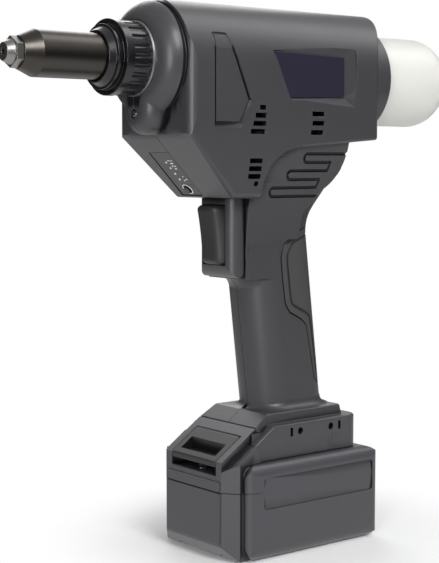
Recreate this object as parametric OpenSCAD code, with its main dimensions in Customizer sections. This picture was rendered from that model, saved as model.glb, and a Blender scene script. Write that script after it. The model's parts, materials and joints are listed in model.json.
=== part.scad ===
// Cordless blind rivet tool: pistol housing, ball screw drive, slide-on battery pack.
// Millimetres. +X points to the nose, +Y to the tool's left, +Z up.
// The origin is the centre of the battery's flat base.

/* [Body] */
// Height of the nose axis above the base
nose_z = 272; // [268:0.5:276]
// Half width of the main body
body_half_w = 33; // [32.5:0.25:35]
// Height of the crown above the nose axis
crown_rise = 32; // [31.5:0.25:34]
// Front face of the main body
body_front_x = 81; // [78:0.5:83]
// Rear end of the crown
body_rear_x = -69; // [-71:0.5:-67.5]
// Radius of the rear end in the plan
rear_r = 43; // [41:0.5:46]
// Rear end of the round socket for the collector
drum_x = -66; // [-66.5:0.5:-65]
// Radius of that socket
drum_r = 32; // [31.5:0.1:32.5]
// Underside of the body at its rear end
tail_z = 231.5; // [230:0.5:233]
// Drop of the underside from the rear end to the grip step
tail_drop = 5.5; // [4:0.5:7]
// Where the grip step starts to curve down
step_x = 2; // [-2:0.5:4]
// Radius of the grip step
step_r = 25; // [22:0.5:26]
// Underside of the chin over the trigger
chin_z = 198; // [197:0.5:199]
// Half width of the chin at its underside
chin_half_w = 25.5; // [24:0.5:27]
// Height at which the sides start to taper in
taper_z = 240; // [237:0.5:244]
// Height at which the sloped control face starts
slope_top_z = 232.5; // [231:0.5:234]
// Wall of the moulded shells
wall = 3; // [2.5:0.1:3.4]
// Radius of the long front edges
body_edge_r = 5; // [3:0.5:7]

/* [Turret] */
// Radius of the round shoulder at the nose
turret_r = 31; // [30.5:0.25:32]
// Front face of the shoulder
turret_front_x = 94; // [92:0.5:95]
// Rounding of the shoulder's front edge
turret_round = 12; // [8:0.5:13]
// Width of the groove behind the shoulder
turret_groove_w = 3; // [2:0.25:4]
// Depth of the groove behind the shoulder
turret_groove_d = 1.8; // [1:0.2:2.4]
// Half width of the lamp tongue under the shoulder
tongue_r = 13; // [12:0.5:14]
// Height of the centre of the tongue's round end
tongue_z = 245; // [243:0.5:247]
// Radius of the lamp's hole
lamp_r = 2.4; // [2:0.1:3]
// Height of the lamp
lamp_z = 243; // [241:0.5:245]

/* [Nose] */
// Length of the sleeve's straight barrel in front of the lock ring
barrel_len = 37; // [33:0.5:40]
// Outer radius of the barrel
barrel_r = 12; // [11.6:0.1:12.6]
// Bore of the barrel
barrel_bore_r = 9; // [8.8:0.1:9.4]
// Length of the barrel's cone
barrel_cone_len = 9; // [7:0.5:11]
// Radius at the small end of the cone
barrel_tip_r = 8.2; // [7.8:0.1:8.8]
// Width across the flats of the nosepiece
nosepiece_flats = 14; // [12:0.5:15]
// Thickness of the nosepiece's hexagon
nosepiece_hex_len = 4; // [3:0.5:5]
// Length of the nosepiece's tip
nosepiece_tip_len = 4; // [3:0.5:6]
// Radius of the nosepiece's tip face
nosepiece_tip_r = 4.6; // [4:0.1:5.4]
// Radius of the mandrel bore
mandrel_r = 1.6; // [1.2:0.05:1.9]
// Radius of the nosepiece's stem
stem_r = 5; // [4.6:0.1:5.4]
// Length of the nosepiece's stem
stem_len = 11; // [9:0.5:12]

/* [Lock ring] */
// Radius over the flutes
ring_r = 19.6; // [19:0.1:20.5]
// Length of the fluted part
ring_flute_len = 12; // [10:0.5:14]
// Number of flutes
ring_flutes = 24; // [16:1:30]
// Depth of a flute
ring_flute_d = 0.9; // [0.5:0.1:1.2]
// Length of the smooth collar
ring_collar_len = 3.5; // [3:0.25:5]
// Length of the stepped front
ring_front_len = 7; // [6:0.5:8]
// Thickness of the bright washer behind the ring
washer_t = 1.2; // [0.8:0.1:1.6]
// Outer radius of the threaded boss inside the ring
boss_r = 15.9; // [15.4:0.1:16.2]

/* [Grip] */
// Grip's centre line at its reference height
grip_x = -5.35; // [-8:0.25:-3]
// Reference height of the grip
grip_ref_z = 110; // [105:1:115]
// Lean of the grip
grip_lean = 6.8; // [5:0.2:8]
// Depth of the grip from front to back
grip_depth = 48.5; // [46:0.5:50]
// Width of the grip
grip_w = 34; // [33:0.5:36]
// Corner radius of the grip's section
grip_round = 15.5; // [12:0.5:16]
// Distance along the grip at which its back sweeps rearward
sweep_start = 64; // [60:0.5:66]
// Radius of that sweep at the back of the grip
sweep_r = 17; // [14:0.5:22]
// Angle of the swept back
sweep_lean = 42; // [38:0.5:44]
// Half width of the web under the rear body
web_half_w = 29; // [28:0.25:29.5]
// Half width of the web at its lower end, inside the grip
web_low_w = 16.4; // [16:0.1:16.8]
// Height of the web's lower end
web_low_z = 158; // [156:0.5:162]
// Centre of the web's round rear edge
web_x = -11; // [-13:0.5:-9]
// Height of that centre
web_z = 225; // [223:0.5:227]
// Radius of the web's round rear edge
web_r = 25.8; // [24:0.2:27]
// Rear end of the swept part of the grip
web_rear_x = -47; // [-49:0.5:-45]
// Width of the finger grooves
finger_groove_w = 1.6; // [1.2:0.1:2]
// Depth of the finger grooves
finger_groove_d = 1.2; // [0.8:0.1:1.6]
// Thickness of the soft back pad
pad_t = 2.2; // [1.6:0.1:2.4]
// Gap around the pad
pad_gap = 0.6; // [0.3:0.05:0.8]

/* [Trigger] */
// Front of the switch surround
bezel_front_x = 40; // [39:0.25:41]
// Rear line of the switch surround
bezel_rear_x = 31; // [30:0.25:32]
// Underside of the switch surround
bezel_low_z = 153; // [151:0.5:155]
// Radius of the surround's lower front corner
bezel_round = 9; // [6:0.5:10]
// Half width of the switch surround
bezel_half_w = 15.5; // [14.5:0.25:16]
// Half width of the trigger
trigger_half_w = 9.4; // [8.5:0.1:10]
// Bottom of the trigger
trigger_low_z = 161; // [159:0.5:163]
// Gap between the trigger's top and the chin
trigger_top_gap = 4; // [3:0.25:5]
// How far the trigger's top stands out of the surround
trigger_out = 7.6; // [6.2:0.1:9]
// How much less its bottom stands out
trigger_rake = 4.2; // [2:0.2:5]
// Travel of the trigger
trigger_travel = 6; // [4:0.5:6]
// Radius of the trigger's stem
trigger_stem_r = 3; // [2.5:0.1:3.2]

/* [Foot] */
// Underside of the foot
foot_base_z = 53.4; // [53.3:0.1:54.5]
// Height of the foot's side
foot_side_h = 18.6; // [17.6:0.2:19.6]
// Half width of the foot
foot_half_w = 31; // [30.5:0.25:32]
// Rear end of the foot
foot_rear_x = -44; // [-46:0.5:-42]
// Height of the deck above the foot's side
deck_h = 5.5; // [5:0.25:7]
// Half width of the deck at its top
deck_half_w = 23; // [22.5:0.25:24]
// Rear end of the deck
deck_rear_x = -35; // [-37:0.5:-34]
// Front of the deck, where the slope starts
deck_front_x = 20.5; // [19:0.5:22]
// Angle of the sloped front of foot and pack
slope_angle = 33.8; // [32:0.2:35]
// Seam between foot and pack on the slope
seam_x = 30; // [29:0.25:31]
// Fillet at the bottom of the grip
grip_fillet = 5; // [3:0.5:6]
// Radius of the two side holes in the foot
hook_hole_r = 1.9; // [1.5:0.1:2.3]
// Distance between the two side holes
hook_pitch = 23.3; // [21:0.1:25]
// Middle of the two side holes
hook_x = -9.4; // [-11:0.2:-8]

/* [Battery] */
// Half width of the pack
pack_half_w = 37.5; // [37:0.25:39]
// Rear end of the pack
pack_rear_x = -53.5; // [-55:0.25:-52]
// Front of the pack's wide body
pack_body_front_x = 45; // [44.5:0.25:45.5]
// Front face of the pack
pack_front_x = 54.8; // [54:0.2:56]
// Shoulder of the pack under the foot
pack_shoulder_z = 52.9; // [52:0.1:53]
// Parting line of the pack's two cases
pack_part_z = 38; // [36:0.5:40]
// Rounding of the pack's edges
pack_round = 8; // [6:0.5:9]
// Rounding of the pack's upright corners
pack_corner_r = 5; // [4:0.5:7]
// Half width of the front block
block_half_w = 33.5; // [32.5:0.25:34.5]
// Half width of the front block's face
face_half_w = 25; // [24:0.25:26]
// Half width of the release latch
latch_half_w = 19.6; // [18.5:0.1:20.5]
// Travel of the release latch
latch_travel = 4; // [3:0.25:4.25]
// Bottom of the latch
latch_low_z = 51.4; // [51:0.1:52]
// Half width of the finger pocket
pocket_half_w = 15.5; // [14:0.5:17]
// Diameter of a cell
cell_d = 18.2; // [18:0.1:18.4]
// Room for the bus bar at each end of a cell
cell_end_gap = 3; // [2.5:0.1:3.5]
// Number of cells
cell_count = 5; // [4:1:5]

/* [Collector] */
// Drop of the collector's axis below the nose axis
collector_drop = 6; // [4:0.5:7]
// Outer radius of the collector
collector_r = 26.5; // [25.5:0.1:26.8]
// Wall of the collector
collector_wall = 2; // [1.5:0.1:2.5]
// Rear end of the collector
collector_end_x = -128; // [-136:1:-122]
// Mouth of the collector
collector_mouth_x = -63; // [-64:0.5:-62.5]
// Rounding of the collector's end
collector_round = 17; // [14:0.5:20]

/* [Drive] */
// Stroke of the pulling spindle
stroke = 24; // [18:1:25]
// Radius of the ball screw
screw_r = 8; // [7.6:0.1:8.2]
// Radius of the mandrel passage through the spindle
passage_r = 3; // [2.5:0.1:3.4]
// Radius of the ball nut
nut_r = 14; // [13.5:0.1:14.4]
// Module of the nut gear stage
nut_gear_m = 1; // [0.95:0.01:1.05]
// Teeth of the nut gear
nut_gear_teeth = 42; // [42:1:42]
// Teeth of the countershaft pinion
counter_pinion_teeth = 14; // [14:1:14]
// Module of the motor stage
motor_gear_m = 0.8; // [0.78:0.01:0.82]
// Teeth of the countershaft gear
counter_gear_teeth = 40; // [40:1:40]
// Teeth of the motor pinion
motor_pinion_teeth = 10; // [10:1:10]
// Outer radius of the motor
motor_r = 16; // [15.5:0.1:16.2]
// Length of the motor
motor_len = 40; // [37:0.5:41]
// Radius of the motor shaft
shaft_r = 2.5; // [2.2:0.05:2.6]
// Travel of a jaw along its cone
jaw_travel = 2; // [1:0.1:2]

/* [Fits] */
// Running clearance of shafts and slides on their radius
run = 0.05; // [0.03:0.01:0.08]
// Free clearance between bodies that move past each other
free = 0.4; // [0.3:0.05:0.5]

/* [Hidden] */
$fn = 64;
eps = 0.01;
big = 400;

body_top = nose_z + crown_rise;
crown_z = body_top - body_half_w;
tail_front_z = tail_z - tail_drop;
slope_low_x = body_front_x - (slope_top_z - chin_z);
inner_front_x = body_front_x - 2 * wall;
inner_rear_x = drum_x + 9;

boss_x = turret_front_x + washer_t + 0.6;
ring_x = boss_x;
ring_collar_x = ring_x + ring_flute_len;
ring_front_x = ring_collar_x + ring_collar_len;
ring_end_x = ring_front_x + ring_front_len;
flange_x = ring_collar_x - 3;
flange_t = 2.5;
barrel_end_x = ring_end_x + barrel_len;
cone_end_x = barrel_end_x + barrel_cone_len;
hex_end_x = cone_end_x + nosepiece_hex_len;
tip_x = hex_end_x + nosepiece_tip_len;

grip_a = grip_depth / 2;
grip_b = grip_w / 2;
sweep_angle = grip_lean + sweep_lean;
neck_fillet = 8;
neck_angle = 78;
neck_ledge = bezel_low_z - free - grip_ref_z;
neck_start = (bezel_rear_x - free - grip_x) * sin(grip_lean) + neck_ledge * cos(grip_lean)
  - neck_fillet * sin(neck_angle);
lap = 0.1;
flare = web_half_w - web_low_w;
flare_r = (pow(tail_z - web_low_z, 2) + flare * flare) / (2 * flare);

foot_top_z = foot_base_z + foot_side_h;
deck_z = foot_top_z + deck_h;
slope_t = tan(slope_angle);

trigger_top_z = chin_z - trigger_top_gap;
trigger_mid_z = (trigger_top_z + trigger_low_z) / 2;
trigger_back_x = bezel_front_x - 6;
switch_front_x = trigger_back_x - trigger_travel - 8;
switch_len = 26;
switch_h = 26;
lead_r = 1.2;
lead_y = 4;

collector_z = nose_z - collector_drop;
hole_r = collector_r + 1.6;

counter_z = nose_z - nut_gear_m * (nut_gear_teeth + counter_pinion_teeth) / 2;
motor_z = counter_z - motor_gear_m * (counter_gear_teeth + motor_pinion_teeth) / 2;
plate_rear_x = -26;
plate_rear_t = 6;
plate_mid_x = -3;
plate_mid_t = 4;
gear_gap = 1;
nut_gear_w = 7;
motor_gear_w = 6;
nut_gear_x = plate_mid_x - gear_gap - 0.5 - nut_gear_w;
motor_gear_x = nut_gear_x - gear_gap - motor_gear_w;
strap_in_r = nut_gear_m * (nut_gear_teeth / 2 + 0.8) + 1.2;
frame_r = strap_in_r + (body_half_w - wall - strap_in_r) * 3 / 7;
frame_tube_r = 20;
nut_front_x = 35.5;
thrust_t = 2.5;
plate_front_x = nut_front_x + thrust_t;
plate_front_t = 4;
neck_r = 10;
motor_x = plate_mid_x + plate_mid_t;
motor_end_x = motor_x + motor_len;
counter_r = 3;
bush_t = 2;
tail_r = screw_r - 1;
tail_end_x = collector_mouth_x + 5;
case_x = 80;
case_end_x = barrel_end_x - 5;
case_r = barrel_bore_r - run;
cone_len = 20;
cone_x = case_end_x - cone_len;
cone_r0 = 6.9;
cone_r1 = 4.4;
jaw_angle = atan((cone_r0 - cone_r1) / cone_len);
chamber_r = 6.4;
stud_r = 5.5;
stud_len = 12;
jaw_x = cone_x + 2;
jaw_len = 12;
jaw_gap = 0.15;
pusher_x = jaw_x - 14.3;
opener_x = jaw_x + jaw_len + jaw_travel + free;
opener_r = 3;
ring_flute_r = 2;
rotor_r = 8.5;
fan_t = 4;
fan_r = 12;
socket_x = inner_rear_x - 3;

rail_z0 = foot_base_z + 1.8;
rail_z1 = rail_z0 + 3.4;
rail_in = 4;
bay_x = foot_rear_x + 4;
bay_half_w = foot_half_w - 4.5;
bay_top_z = foot_top_z - 3.2;
terminal_x = foot_rear_x + 15;
terminal_half_w = 14;
terminal_z = foot_base_z + 5;
blade_len = 20;
contact_y = [-9, 0, 9];

pack_wall = 2;
cell_pitch = cell_d + 0.05;
cell_len = 2 * (pack_half_w - pack_wall - cell_end_gap);
cell_x0 = pack_rear_x + pack_wall + 0.15 + cell_d / 2;
cell_z = 16;
holder_in = 6.35;
holder_x0 = cell_x0 - cell_d / 2 + holder_in;
holder_half_w = pack_half_w - 7.5;
holder_len = cell_count * cell_pitch - 2 * holder_in;
latch_x = seam_x + 7;
latch_hook_len = 10;
latch_hook_half_w = 7;
latch_hook_z = 60;
latch_hook_t = 4;
latch_spring_x = pack_front_x - 7;
latch_spring_z = pack_part_z + 1.3;
pocket_x = latch_x + 6.5;
pocket_len = 8;
pocket_z = 55.5;

screw_at = [[61, 245], [57, 297], [-41, 240], [-41, 293], [-12, 186], [14, 148], [-17, 93]];
head_y = [21, 12, 21, 14, 10, 9, 9];
boss_out_r = 4.2;
fix_r = 1.5;
fix_head_r = 2.6;

panel_x = 59.5;
panel_z = slope_top_z - (body_front_x - panel_x);
panel_y = -9.5;
panel_len = 33;
panel_w = 17;
panel_d = 1.2;
button_u = 12;
button_r = 2.2;
lamp_pitch = 4.4;
board_top = 5.9;
board_t = 1.6;
badge_d = 1.6;
lobe_z = [220, 210.4, 201];
lobe_front_x = [-4.6, 5.7, 16.9];
lobe_back_x = [-25.2, -18.8];
lobe_r = 2.4;
lobe_shift = 1.5;

shade = "#4a4a4d";
shade_dark = "#2c2c2f";
shade_black = "#1a1a1c";
steel = "#9a9a98";
steel_dark = "#5d5e60";
alloy = "#b4b6b8";
brass_tone = "#b8954a";
copper_tone = "#b0703c";

// Outline in X and Z, thickened to both sides of the middle plane
module slab_y(half) rotate([90, 0, 0]) linear_extrude(height = 2 * half, center = true) children();

// Outline in Y and Z, thickened along X
module slab_x(x0, x1) translate([x0, 0, 0]) rotate([90, 0, 90])
  linear_extrude(height = x1 - x0) children();

// Outline in X and Y, thickened along Z
module slab_z(z0, z1) translate([0, 0, z0]) linear_extrude(height = z1 - z0) children();

// Half profile (radius, length) turned about an axis along X
module turned_x(x0, z) translate([x0, 0, z]) rotate([0, 90, 0]) rotate_extrude() children();

// Round bar along X
module rod_x(x0, x1, r, z, y = 0) translate([x0, y, z]) rotate([0, 90, 0])
  cylinder(r = r, h = x1 - x0);

// Tube along X
module tube_x(x0, x1, r, bore, z, y = 0) {
  difference() {
    rod_x(x0, x1, r, z, y);
    rod_x(x0 - 1, x1 + 1, bore, z, y);
  }
}

// Cone along X
module cone_along_x(x0, x1, r0, r1, z) translate([x0, 0, z]) rotate([0, 90, 0])
  cylinder(r1 = r0, r2 = r1, h = x1 - x0);

// Rectangle with true round corners, by half sizes
module round_rect(a, b, r) {
  square([2 * a, 2 * (b - r)], center = true);
  square([2 * (a - r), 2 * b], center = true);
  for (sx = [-1, 1]) for (sy = [-1, 1]) translate([sx * (a - r), sy * (b - r)]) circle(r = r);
}

// Rectangle with round corners, between two corners
module round_box(x0, y0, x1, y1, r) translate([(x0 + x1) / 2, (y0 + y1) / 2])
  round_rect((x1 - x0) / 2, (y1 - y0) / 2, r);

// Piece that rounds off a square corner; the corner is at the origin and points to +x +y
module corner_cut(r) difference() {
  translate([-r, -r]) square([r + 1, r + 1]);
  translate([-r, -r]) circle(r = r);
}

// Everything on the tool's left (side = 1) or right (side = -1) of the middle plane
module half_space(side) translate([-big / 2, side > 0 ? 0 : -big, -big / 4])
  cube([big, big, 2 * big]);

// Section of the main body in Y and Z
module body_section(inset = 0) {
  w = body_half_w - inset;
  c = chin_half_w - inset;
  translate([0, crown_z]) circle(r = w);
  polygon([
    [-w, crown_z], [w, crown_z], [w, taper_z], [c, chin_z + inset], [-c, chin_z + inset], [-w, taper_z]
  ]);
}

// What the grip's step takes away from the body's side view
module step_window() {
  low = chin_z - 5;
  polygon([[body_rear_x - 1, tail_z], [step_x, tail_front_z], [step_x, low], [body_rear_x - 1, low]]);
  translate([step_x, tail_front_z - step_r]) circle(r = step_r);
  translate([step_x, low]) square([step_r, tail_front_z - step_r - low]);
}

// Side view of the main body
module body_side() difference() {
  polygon([
    [body_rear_x - 1, chin_z], [body_rear_x - 1, body_top + 1], [body_front_x, body_top + 1],
    [body_front_x, slope_top_z], [slope_low_x, chin_z]
  ]);
  step_window();
  translate([body_front_x, body_top]) corner_cut(body_edge_r);
}

// Plan of the main body
module body_plan(inset = 0) {
  mid_x = body_rear_x + rear_r;
  w = body_half_w - inset;
  intersection() {
    translate([mid_x, 0]) circle(r = rear_r - inset);
    translate([mid_x - rear_r, -w]) square([rear_r + 1, 2 * w]);
  }
  difference() {
    translate([mid_x, -w]) square([body_front_x - mid_x, 2 * w]);
    for (s = [0, 1]) mirror([0, s]) translate([body_front_x, body_half_w]) corner_cut(body_edge_r);
  }
}

module main_body() intersection() {
  slab_y(body_half_w + 1) body_side();
  slab_x(body_rear_x - 1, body_front_x + 1) body_section();
  slab_z(chin_z - 1, body_top + 1) body_plan();
}

// Half profile of a round shoulder with a rounded front edge
module shoulder_profile(r, len, round) {
  square([r - round, len]);
  square([r, len - round]);
  translate([r - round, len - round]) intersection() {
    circle(r = round);
    square([round, round]);
  }
}

module turret() {
  base_x = body_front_x - 2 * wall;
  len = turret_front_x - base_x;
  tongue_round = tongue_r - 5;
  difference() {
    turned_x(base_x, nose_z) shoulder_profile(turret_r, len, turret_round);
    tube_x(body_front_x, body_front_x + turret_groove_w, turret_r + 1, turret_r - turret_groove_d, nose_z);
  }
  turned_x(base_x, tongue_z) shoulder_profile(tongue_r, len, tongue_round);
  slab_z(tongue_z, nose_z) translate([base_x, 0]) rotate(90) for (s = [0, 1]) mirror([s, 0]) mirror([0, 1])
    shoulder_profile(tongue_r, len, tongue_round);
}

// Places children in the grip's own leaning frame
module in_grip() translate([grip_x, 0, grip_ref_z]) rotate([0, grip_lean, 0]) children();

// Grip: a leaning prism, a bend and a swept-back prism that runs up into the body
module grip_core(inset = 0) {
  a = grip_a - inset;
  b = grip_b - inset;
  r = grip_round - inset;
  low = deck_z - grip_ref_z - 6;
  in_grip() {
    translate([0, 0, low]) linear_extrude(height = sweep_start - low) round_rect(a, b, r);
    translate([-grip_a - sweep_r, 0, sweep_start]) {
      rotate([90, 0, 0]) rotate_extrude(angle = sweep_angle) translate([sweep_r + grip_a, 0])
        round_rect(a, b, r);
      rotate([0, -sweep_angle, 0]) translate([sweep_r + grip_a, 0, -3]) linear_extrude(height = 45)
        round_rect(a - lap, b - lap, r - lap);
    }
  }
}

// Side view of the web between the grip and the underside of the body
module web_outline() {
  in = 0.68 * web_r;
  front_x = bezel_rear_x - free;
  knee_x = web_x + 1;
  translate([web_x, web_z]) circle(r = web_r);
  polygon([
    [web_x, tail_z], [web_x - in, web_z - in], [knee_x, web_z - 2 * in - 1], [knee_x + 4, web_low_z + 7],
    [knee_x + 4, web_low_z], [front_x, web_low_z], [front_x, chin_z], [step_x + step_r, chin_z + 3],
    [step_x + step_r, tail_z]
  ]);
}

// Section of the web in Y and Z: its sides flare out from the grip
module web_section(inset = 0) difference() {
  translate([-web_half_w - 1, web_low_z]) square([2 * (web_half_w + 1), tail_z - web_low_z]);
  for (s = [-1, 1]) translate([s * (web_low_w + flare_r - inset), web_low_z]) circle(r = flare_r);
}

module grip_web() intersection() {
  slab_y(web_half_w + 1) web_outline();
  slab_x(web_rear_x - 1, bezel_rear_x) web_section();
}

// Neck behind the switch surround, and the forward bend of the grip under it
module grip_neck() {
  b = grip_b - lap;
  intersection() {
    slab_y(b) translate([-5, bezel_low_z - free])
      square([bezel_rear_x - free + 5, chin_z - bezel_low_z + free]);
    slab_z(bezel_low_z - 1, chin_z) round_box(-25, -b, bezel_front_x, b, 13);
  }
  in_grip() translate([grip_a + neck_fillet, 0, neck_start]) mirror([1, 0, 0]) rotate([90, 0, 0])
    rotate_extrude(angle = neck_angle) translate([neck_fillet + grip_a, 0])
      round_rect(grip_a - lap, b, grip_round - lap);
}

// Fillet round the bottom of the grip
module grip_skirt() {
  foot_x = grip_x + (deck_z - grip_ref_z) * tan(grip_lean);
  f = grip_fillet;
  translate([foot_x, 0, deck_z - eps]) {
    for (sx = [0, 1]) for (sy = [0, 1]) mirror([sx, 0, 0]) mirror([0, sy, 0])
      translate([grip_a - grip_round, grip_b - grip_round, 0]) rotate_extrude(angle = 90)
        translate([grip_round - 3, 0]) difference() {
          square([f + 3, f]);
          translate([f + 3, f]) circle(r = f);
        }
    for (s = [0, 1]) mirror([0, s, 0]) rotate([90, 0, 90])
      linear_extrude(height = 2 * (grip_a - grip_round), center = true)
        translate([grip_b - 3, 0]) difference() {
          square([f + 3, f]);
          translate([f + 3, f]) circle(r = f);
        }
  }
}

// Side view of the foot's flat sides
module foot_side() {
  corner_x = deck_front_x + 1;
  front_x = seam_x + 5.5;
  polygon([
    [foot_rear_x, foot_base_z], [foot_rear_x, foot_top_z], [corner_x, foot_top_z],
    [front_x, foot_top_z - (front_x - corner_x) * slope_t], [seam_x + 2, foot_base_z]
  ]);
}

module foot_block() {
  intersection() {
    slab_y(foot_half_w) foot_side();
    slab_z(foot_base_z, foot_top_z) round_box(foot_rear_x, -foot_half_w, big / 4, foot_half_w, 9);
  }
  intersection() {
    slab_y(foot_half_w) polygon([
      [deck_rear_x, foot_top_z - 1], [deck_rear_x, deck_z], [deck_front_x, deck_z],
      [seam_x, deck_z - (seam_x - deck_front_x) * slope_t], [seam_x, foot_top_z - 4.5],
      [seam_x - 12, foot_top_z - 4.5]
    ]);
    slab_x(deck_rear_x - 1, seam_x + 1) polygon([
      [-deck_half_w, deck_z], [deck_half_w, deck_z],
      [deck_half_w + deck_h * 0.6, foot_top_z - 5], [-deck_half_w - deck_h * 0.6, foot_top_z - 5]
    ]);
    slab_z(foot_base_z, deck_z) round_box(deck_rear_x, -big / 4, big / 4, big / 4, 7);
  }
}

// Space for the pack's head, open below and in front; the rails stay
module foot_bay() {
  rail_len = seam_x - 2 - bay_x;
  difference() {
    translate([bay_x, -bay_half_w, foot_base_z - 1])
      cube([big / 4, 2 * bay_half_w, bay_top_z - foot_base_z + 1]);
    for (s = [-1, 1]) translate([bay_x - 1, s > 0 ? bay_half_w - rail_in : -bay_half_w - 1, rail_z0])
      cube([rail_len + 1, rail_in + 1, rail_z1 - rail_z0]);
  }
  translate([seam_x - 8, -latch_hook_half_w - free, bay_top_z - 1])
    cube([20, 2 * (latch_hook_half_w + free), 1.8]);
}

// Inside of both shells
module housing_cavity() {
  slope_wall = wall * sqrt(2);
  floor_x = step_x + step_r + wall;
  low = chin_z + wall;
  intersection() {
    slab_x(inner_rear_x, inner_front_x) body_section(wall);
    slab_y(body_half_w) polygon([
      [inner_rear_x, tail_z + wall], [inner_rear_x, body_top], [inner_front_x, body_top],
      [inner_front_x, slope_top_z - (body_front_x - inner_front_x) + slope_wall],
      [body_front_x - (slope_top_z - low) - slope_wall, low], [floor_x, low], [floor_x, tail_z + wall]
    ]);
    slab_z(chin_z, body_top) body_plan(wall);
  }
  translate([plate_rear_x - 1, -18, motor_z - 14.5]) cube([motor_x + 0.5 - plate_rear_x + 1, 36, 50]);
  rod_x(motor_x - eps, motor_end_x + 7, motor_r + 1.5, motor_z);
  grip_hollow();
  rod_x(collector_end_x, inner_rear_x + eps, hole_r, collector_z);
}

// Hollow of the grip and neck, from the foot up to the motor space
module grip_hollow() {
  lead_x = deck_rear_x + 2.8;
  intersection() {
    union() {
      in_grip() translate([0, 0, deck_z - grip_ref_z - 4]) linear_extrude(height = 120)
        round_rect(grip_a - wall - 1.5, grip_b - wall - 0.5, grip_round - wall - 4);
      translate([0, -trigger_half_w - 2, bezel_low_z + 5])
        cube([bezel_rear_x, 2 * (trigger_half_w + 2), chin_z + 10 - bezel_low_z - 5]);
    }
    translate([-big / 2, -big / 2, deck_z - 4]) cube([big, big, motor_z - deck_z + 4]);
  }
  translate([lead_x, -9, bay_top_z - 1]) cube([4 - lead_x, 18, 6.2]);
}

// Slot of a vent, cut through one side
module vent_slot(x0, x1, z, side) {
  vent_h = 2.6;
  translate([min(x0, x1), side > 0 ? 15 : -45, z - vent_h / 2]) cube([abs(x1 - x0), 30, vent_h]);
}

module vents(side) {
  for (i = [0:3]) vent_slot(30, 34.2 + [0, 3.2, 4.6, 5.6][i], 247 - 4.3 * i, side);
  for (i = [0:2]) vent_slot(-12.6, -3.8, 244.3 - 5.1 * i, side);
  for (i = [0:2]) vent_slot(29.4, 38.2, 218.4 - 4.2 * i, side);
  translate([31.8, side > 0 ? 15 : -45, 206]) rotate([-90, 0, 0]) cylinder(r = 1.5, h = 30);
}

// Outline of the inset side panel
module side_panel_outline(grow = 0) offset(delta = grow)
  polygon([[64.6, 285], [55.7, 285], [41.4, 250.8], [48, 238.6], [64.6, 238.6]]);

// Outline in X and Z, thickened between two Y values
module side_slab(y0, y1) translate([0, y1, 0]) rotate([90, 0, 0])
  linear_extrude(height = y1 - y0) children();

// Groove round the inset side panel, and the panel's lower face
module side_panel_cut(side) {
  groove_d = 1.4;
  face_d = 0.6;
  out = body_half_w + 5;
  mirror([0, side > 0 ? 0 : 1, 0]) {
    side_slab(body_half_w - groove_d, out) difference() {
      side_panel_outline(0.5);
      side_panel_outline(-0.5);
    }
    side_slab(body_half_w - face_d, out) side_panel_outline(0);
  }
}

// Badge plate and the bevelled recess that it lies in, on the left side only
module badge_outline(grow = 0) offset(delta = grow)
  polygon([[24, 277.4], [-28, 276.2], [-28.2, 254], [12.8, 252.8]]);

module badge_recess() {
  bevel = 6;
  side_slab(body_half_w - badge_d, body_half_w + 5) badge_outline(0.15);
  hull() {
    translate([-28, body_half_w - badge_d, 254]) cube([3, eps, 22]);
    translate([-28 - bevel, body_half_w + 0.5, 254 - bevel + 1]) cube([3 + bevel, eps, 22 + 2 * bevel - 3]);
  }
}

// Serpentine finger grooves: the edges of three long lobes, one above the other
module finger_path() {
  for (i = [0:2]) {
    translate([lobe_front_x[i] - lobe_r, lobe_z[i]]) difference() {
      circle(r = lobe_r + finger_groove_w / 2);
      circle(r = lobe_r - finger_groove_w / 2);
      translate([-10, -10]) square([10, 20]);
    }
    for (s = [-1, 1]) {
      runs_out = i == 0 && s > 0 || i == 2 && s < 0;
      back_x = runs_out ? web_rear_x - 1 : s > 0 ? lobe_back_x[i - 1] + lobe_shift : lobe_back_x[i];
      translate([back_x, lobe_z[i] + s * lobe_r - finger_groove_w / 2])
        square([lobe_front_x[i] - lobe_r - back_x, finger_groove_w]);
    }
  }
  for (i = [0:1]) hull() {
    translate([lobe_back_x[i], lobe_z[i] - lobe_r]) circle(r = finger_groove_w / 2, $fn = 32);
    translate([lobe_back_x[i] + lobe_shift, lobe_z[i + 1] + lobe_r])
      circle(r = finger_groove_w / 2, $fn = 32);
  }
}

module finger_grooves() difference() {
  slab_y(web_half_w + 5) finger_path();
  slab_x(web_rear_x - 2, bezel_rear_x) web_section(finger_groove_d);
}

// Outline of the soft pad on the back of the grip, in the side view
module pad_outline(grow = 0) offset(delta = grow) polygon([
  [-60, 192], [-24, 183], [-4.4, 177.5], [3, 171], [4.8, 164], [3.6, 152], [1.5, 138], [-1.7, 133],
  [-10.6, 128.5], [-14.4, 125], [-17.8, 109.6], [-21.5, 93.8], [-26, 89], [-60, 89]
]);

module grip_pad_form(grow) intersection() {
  difference() {
    grip_core(0);
    grip_core(pad_t);
  }
  slab_y(grip_w) pad_outline(grow);
}

// Control face: children are placed on it, +z outward, +x down the slope
module on_slope(y = panel_y) translate([panel_x, y, panel_z]) rotate([0, 135, 0]) children();

// Screw bosses that join the two shells
module screw_bosses() for (p = screw_at) translate([p[0], 0, p[1]]) rotate([90, 0, 0])
  cylinder(r = boss_out_r, h = 2 * body_half_w, center = true);
module screw_holes() for (i = [0:len(screw_at) - 1]) translate([screw_at[i][0], 0, screw_at[i][1]]) {
  translate([0, 7, 0]) rotate([90, 0, 0]) cylinder(r = fix_r, h = head_y[i] + 8);
  translate([0, -head_y[i], 0]) rotate([90, 0, 0]) cylinder(r = fix_head_r + 0.2, h = 40);
}

// Posts behind the control face that carry the control board
module board_posts() on_slope() for (p = [[-13, 0], [-13, 18], [10, 18]])
  translate([p[0], p[1], -board_top]) cylinder(r = 2, h = board_top - 1);

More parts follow.
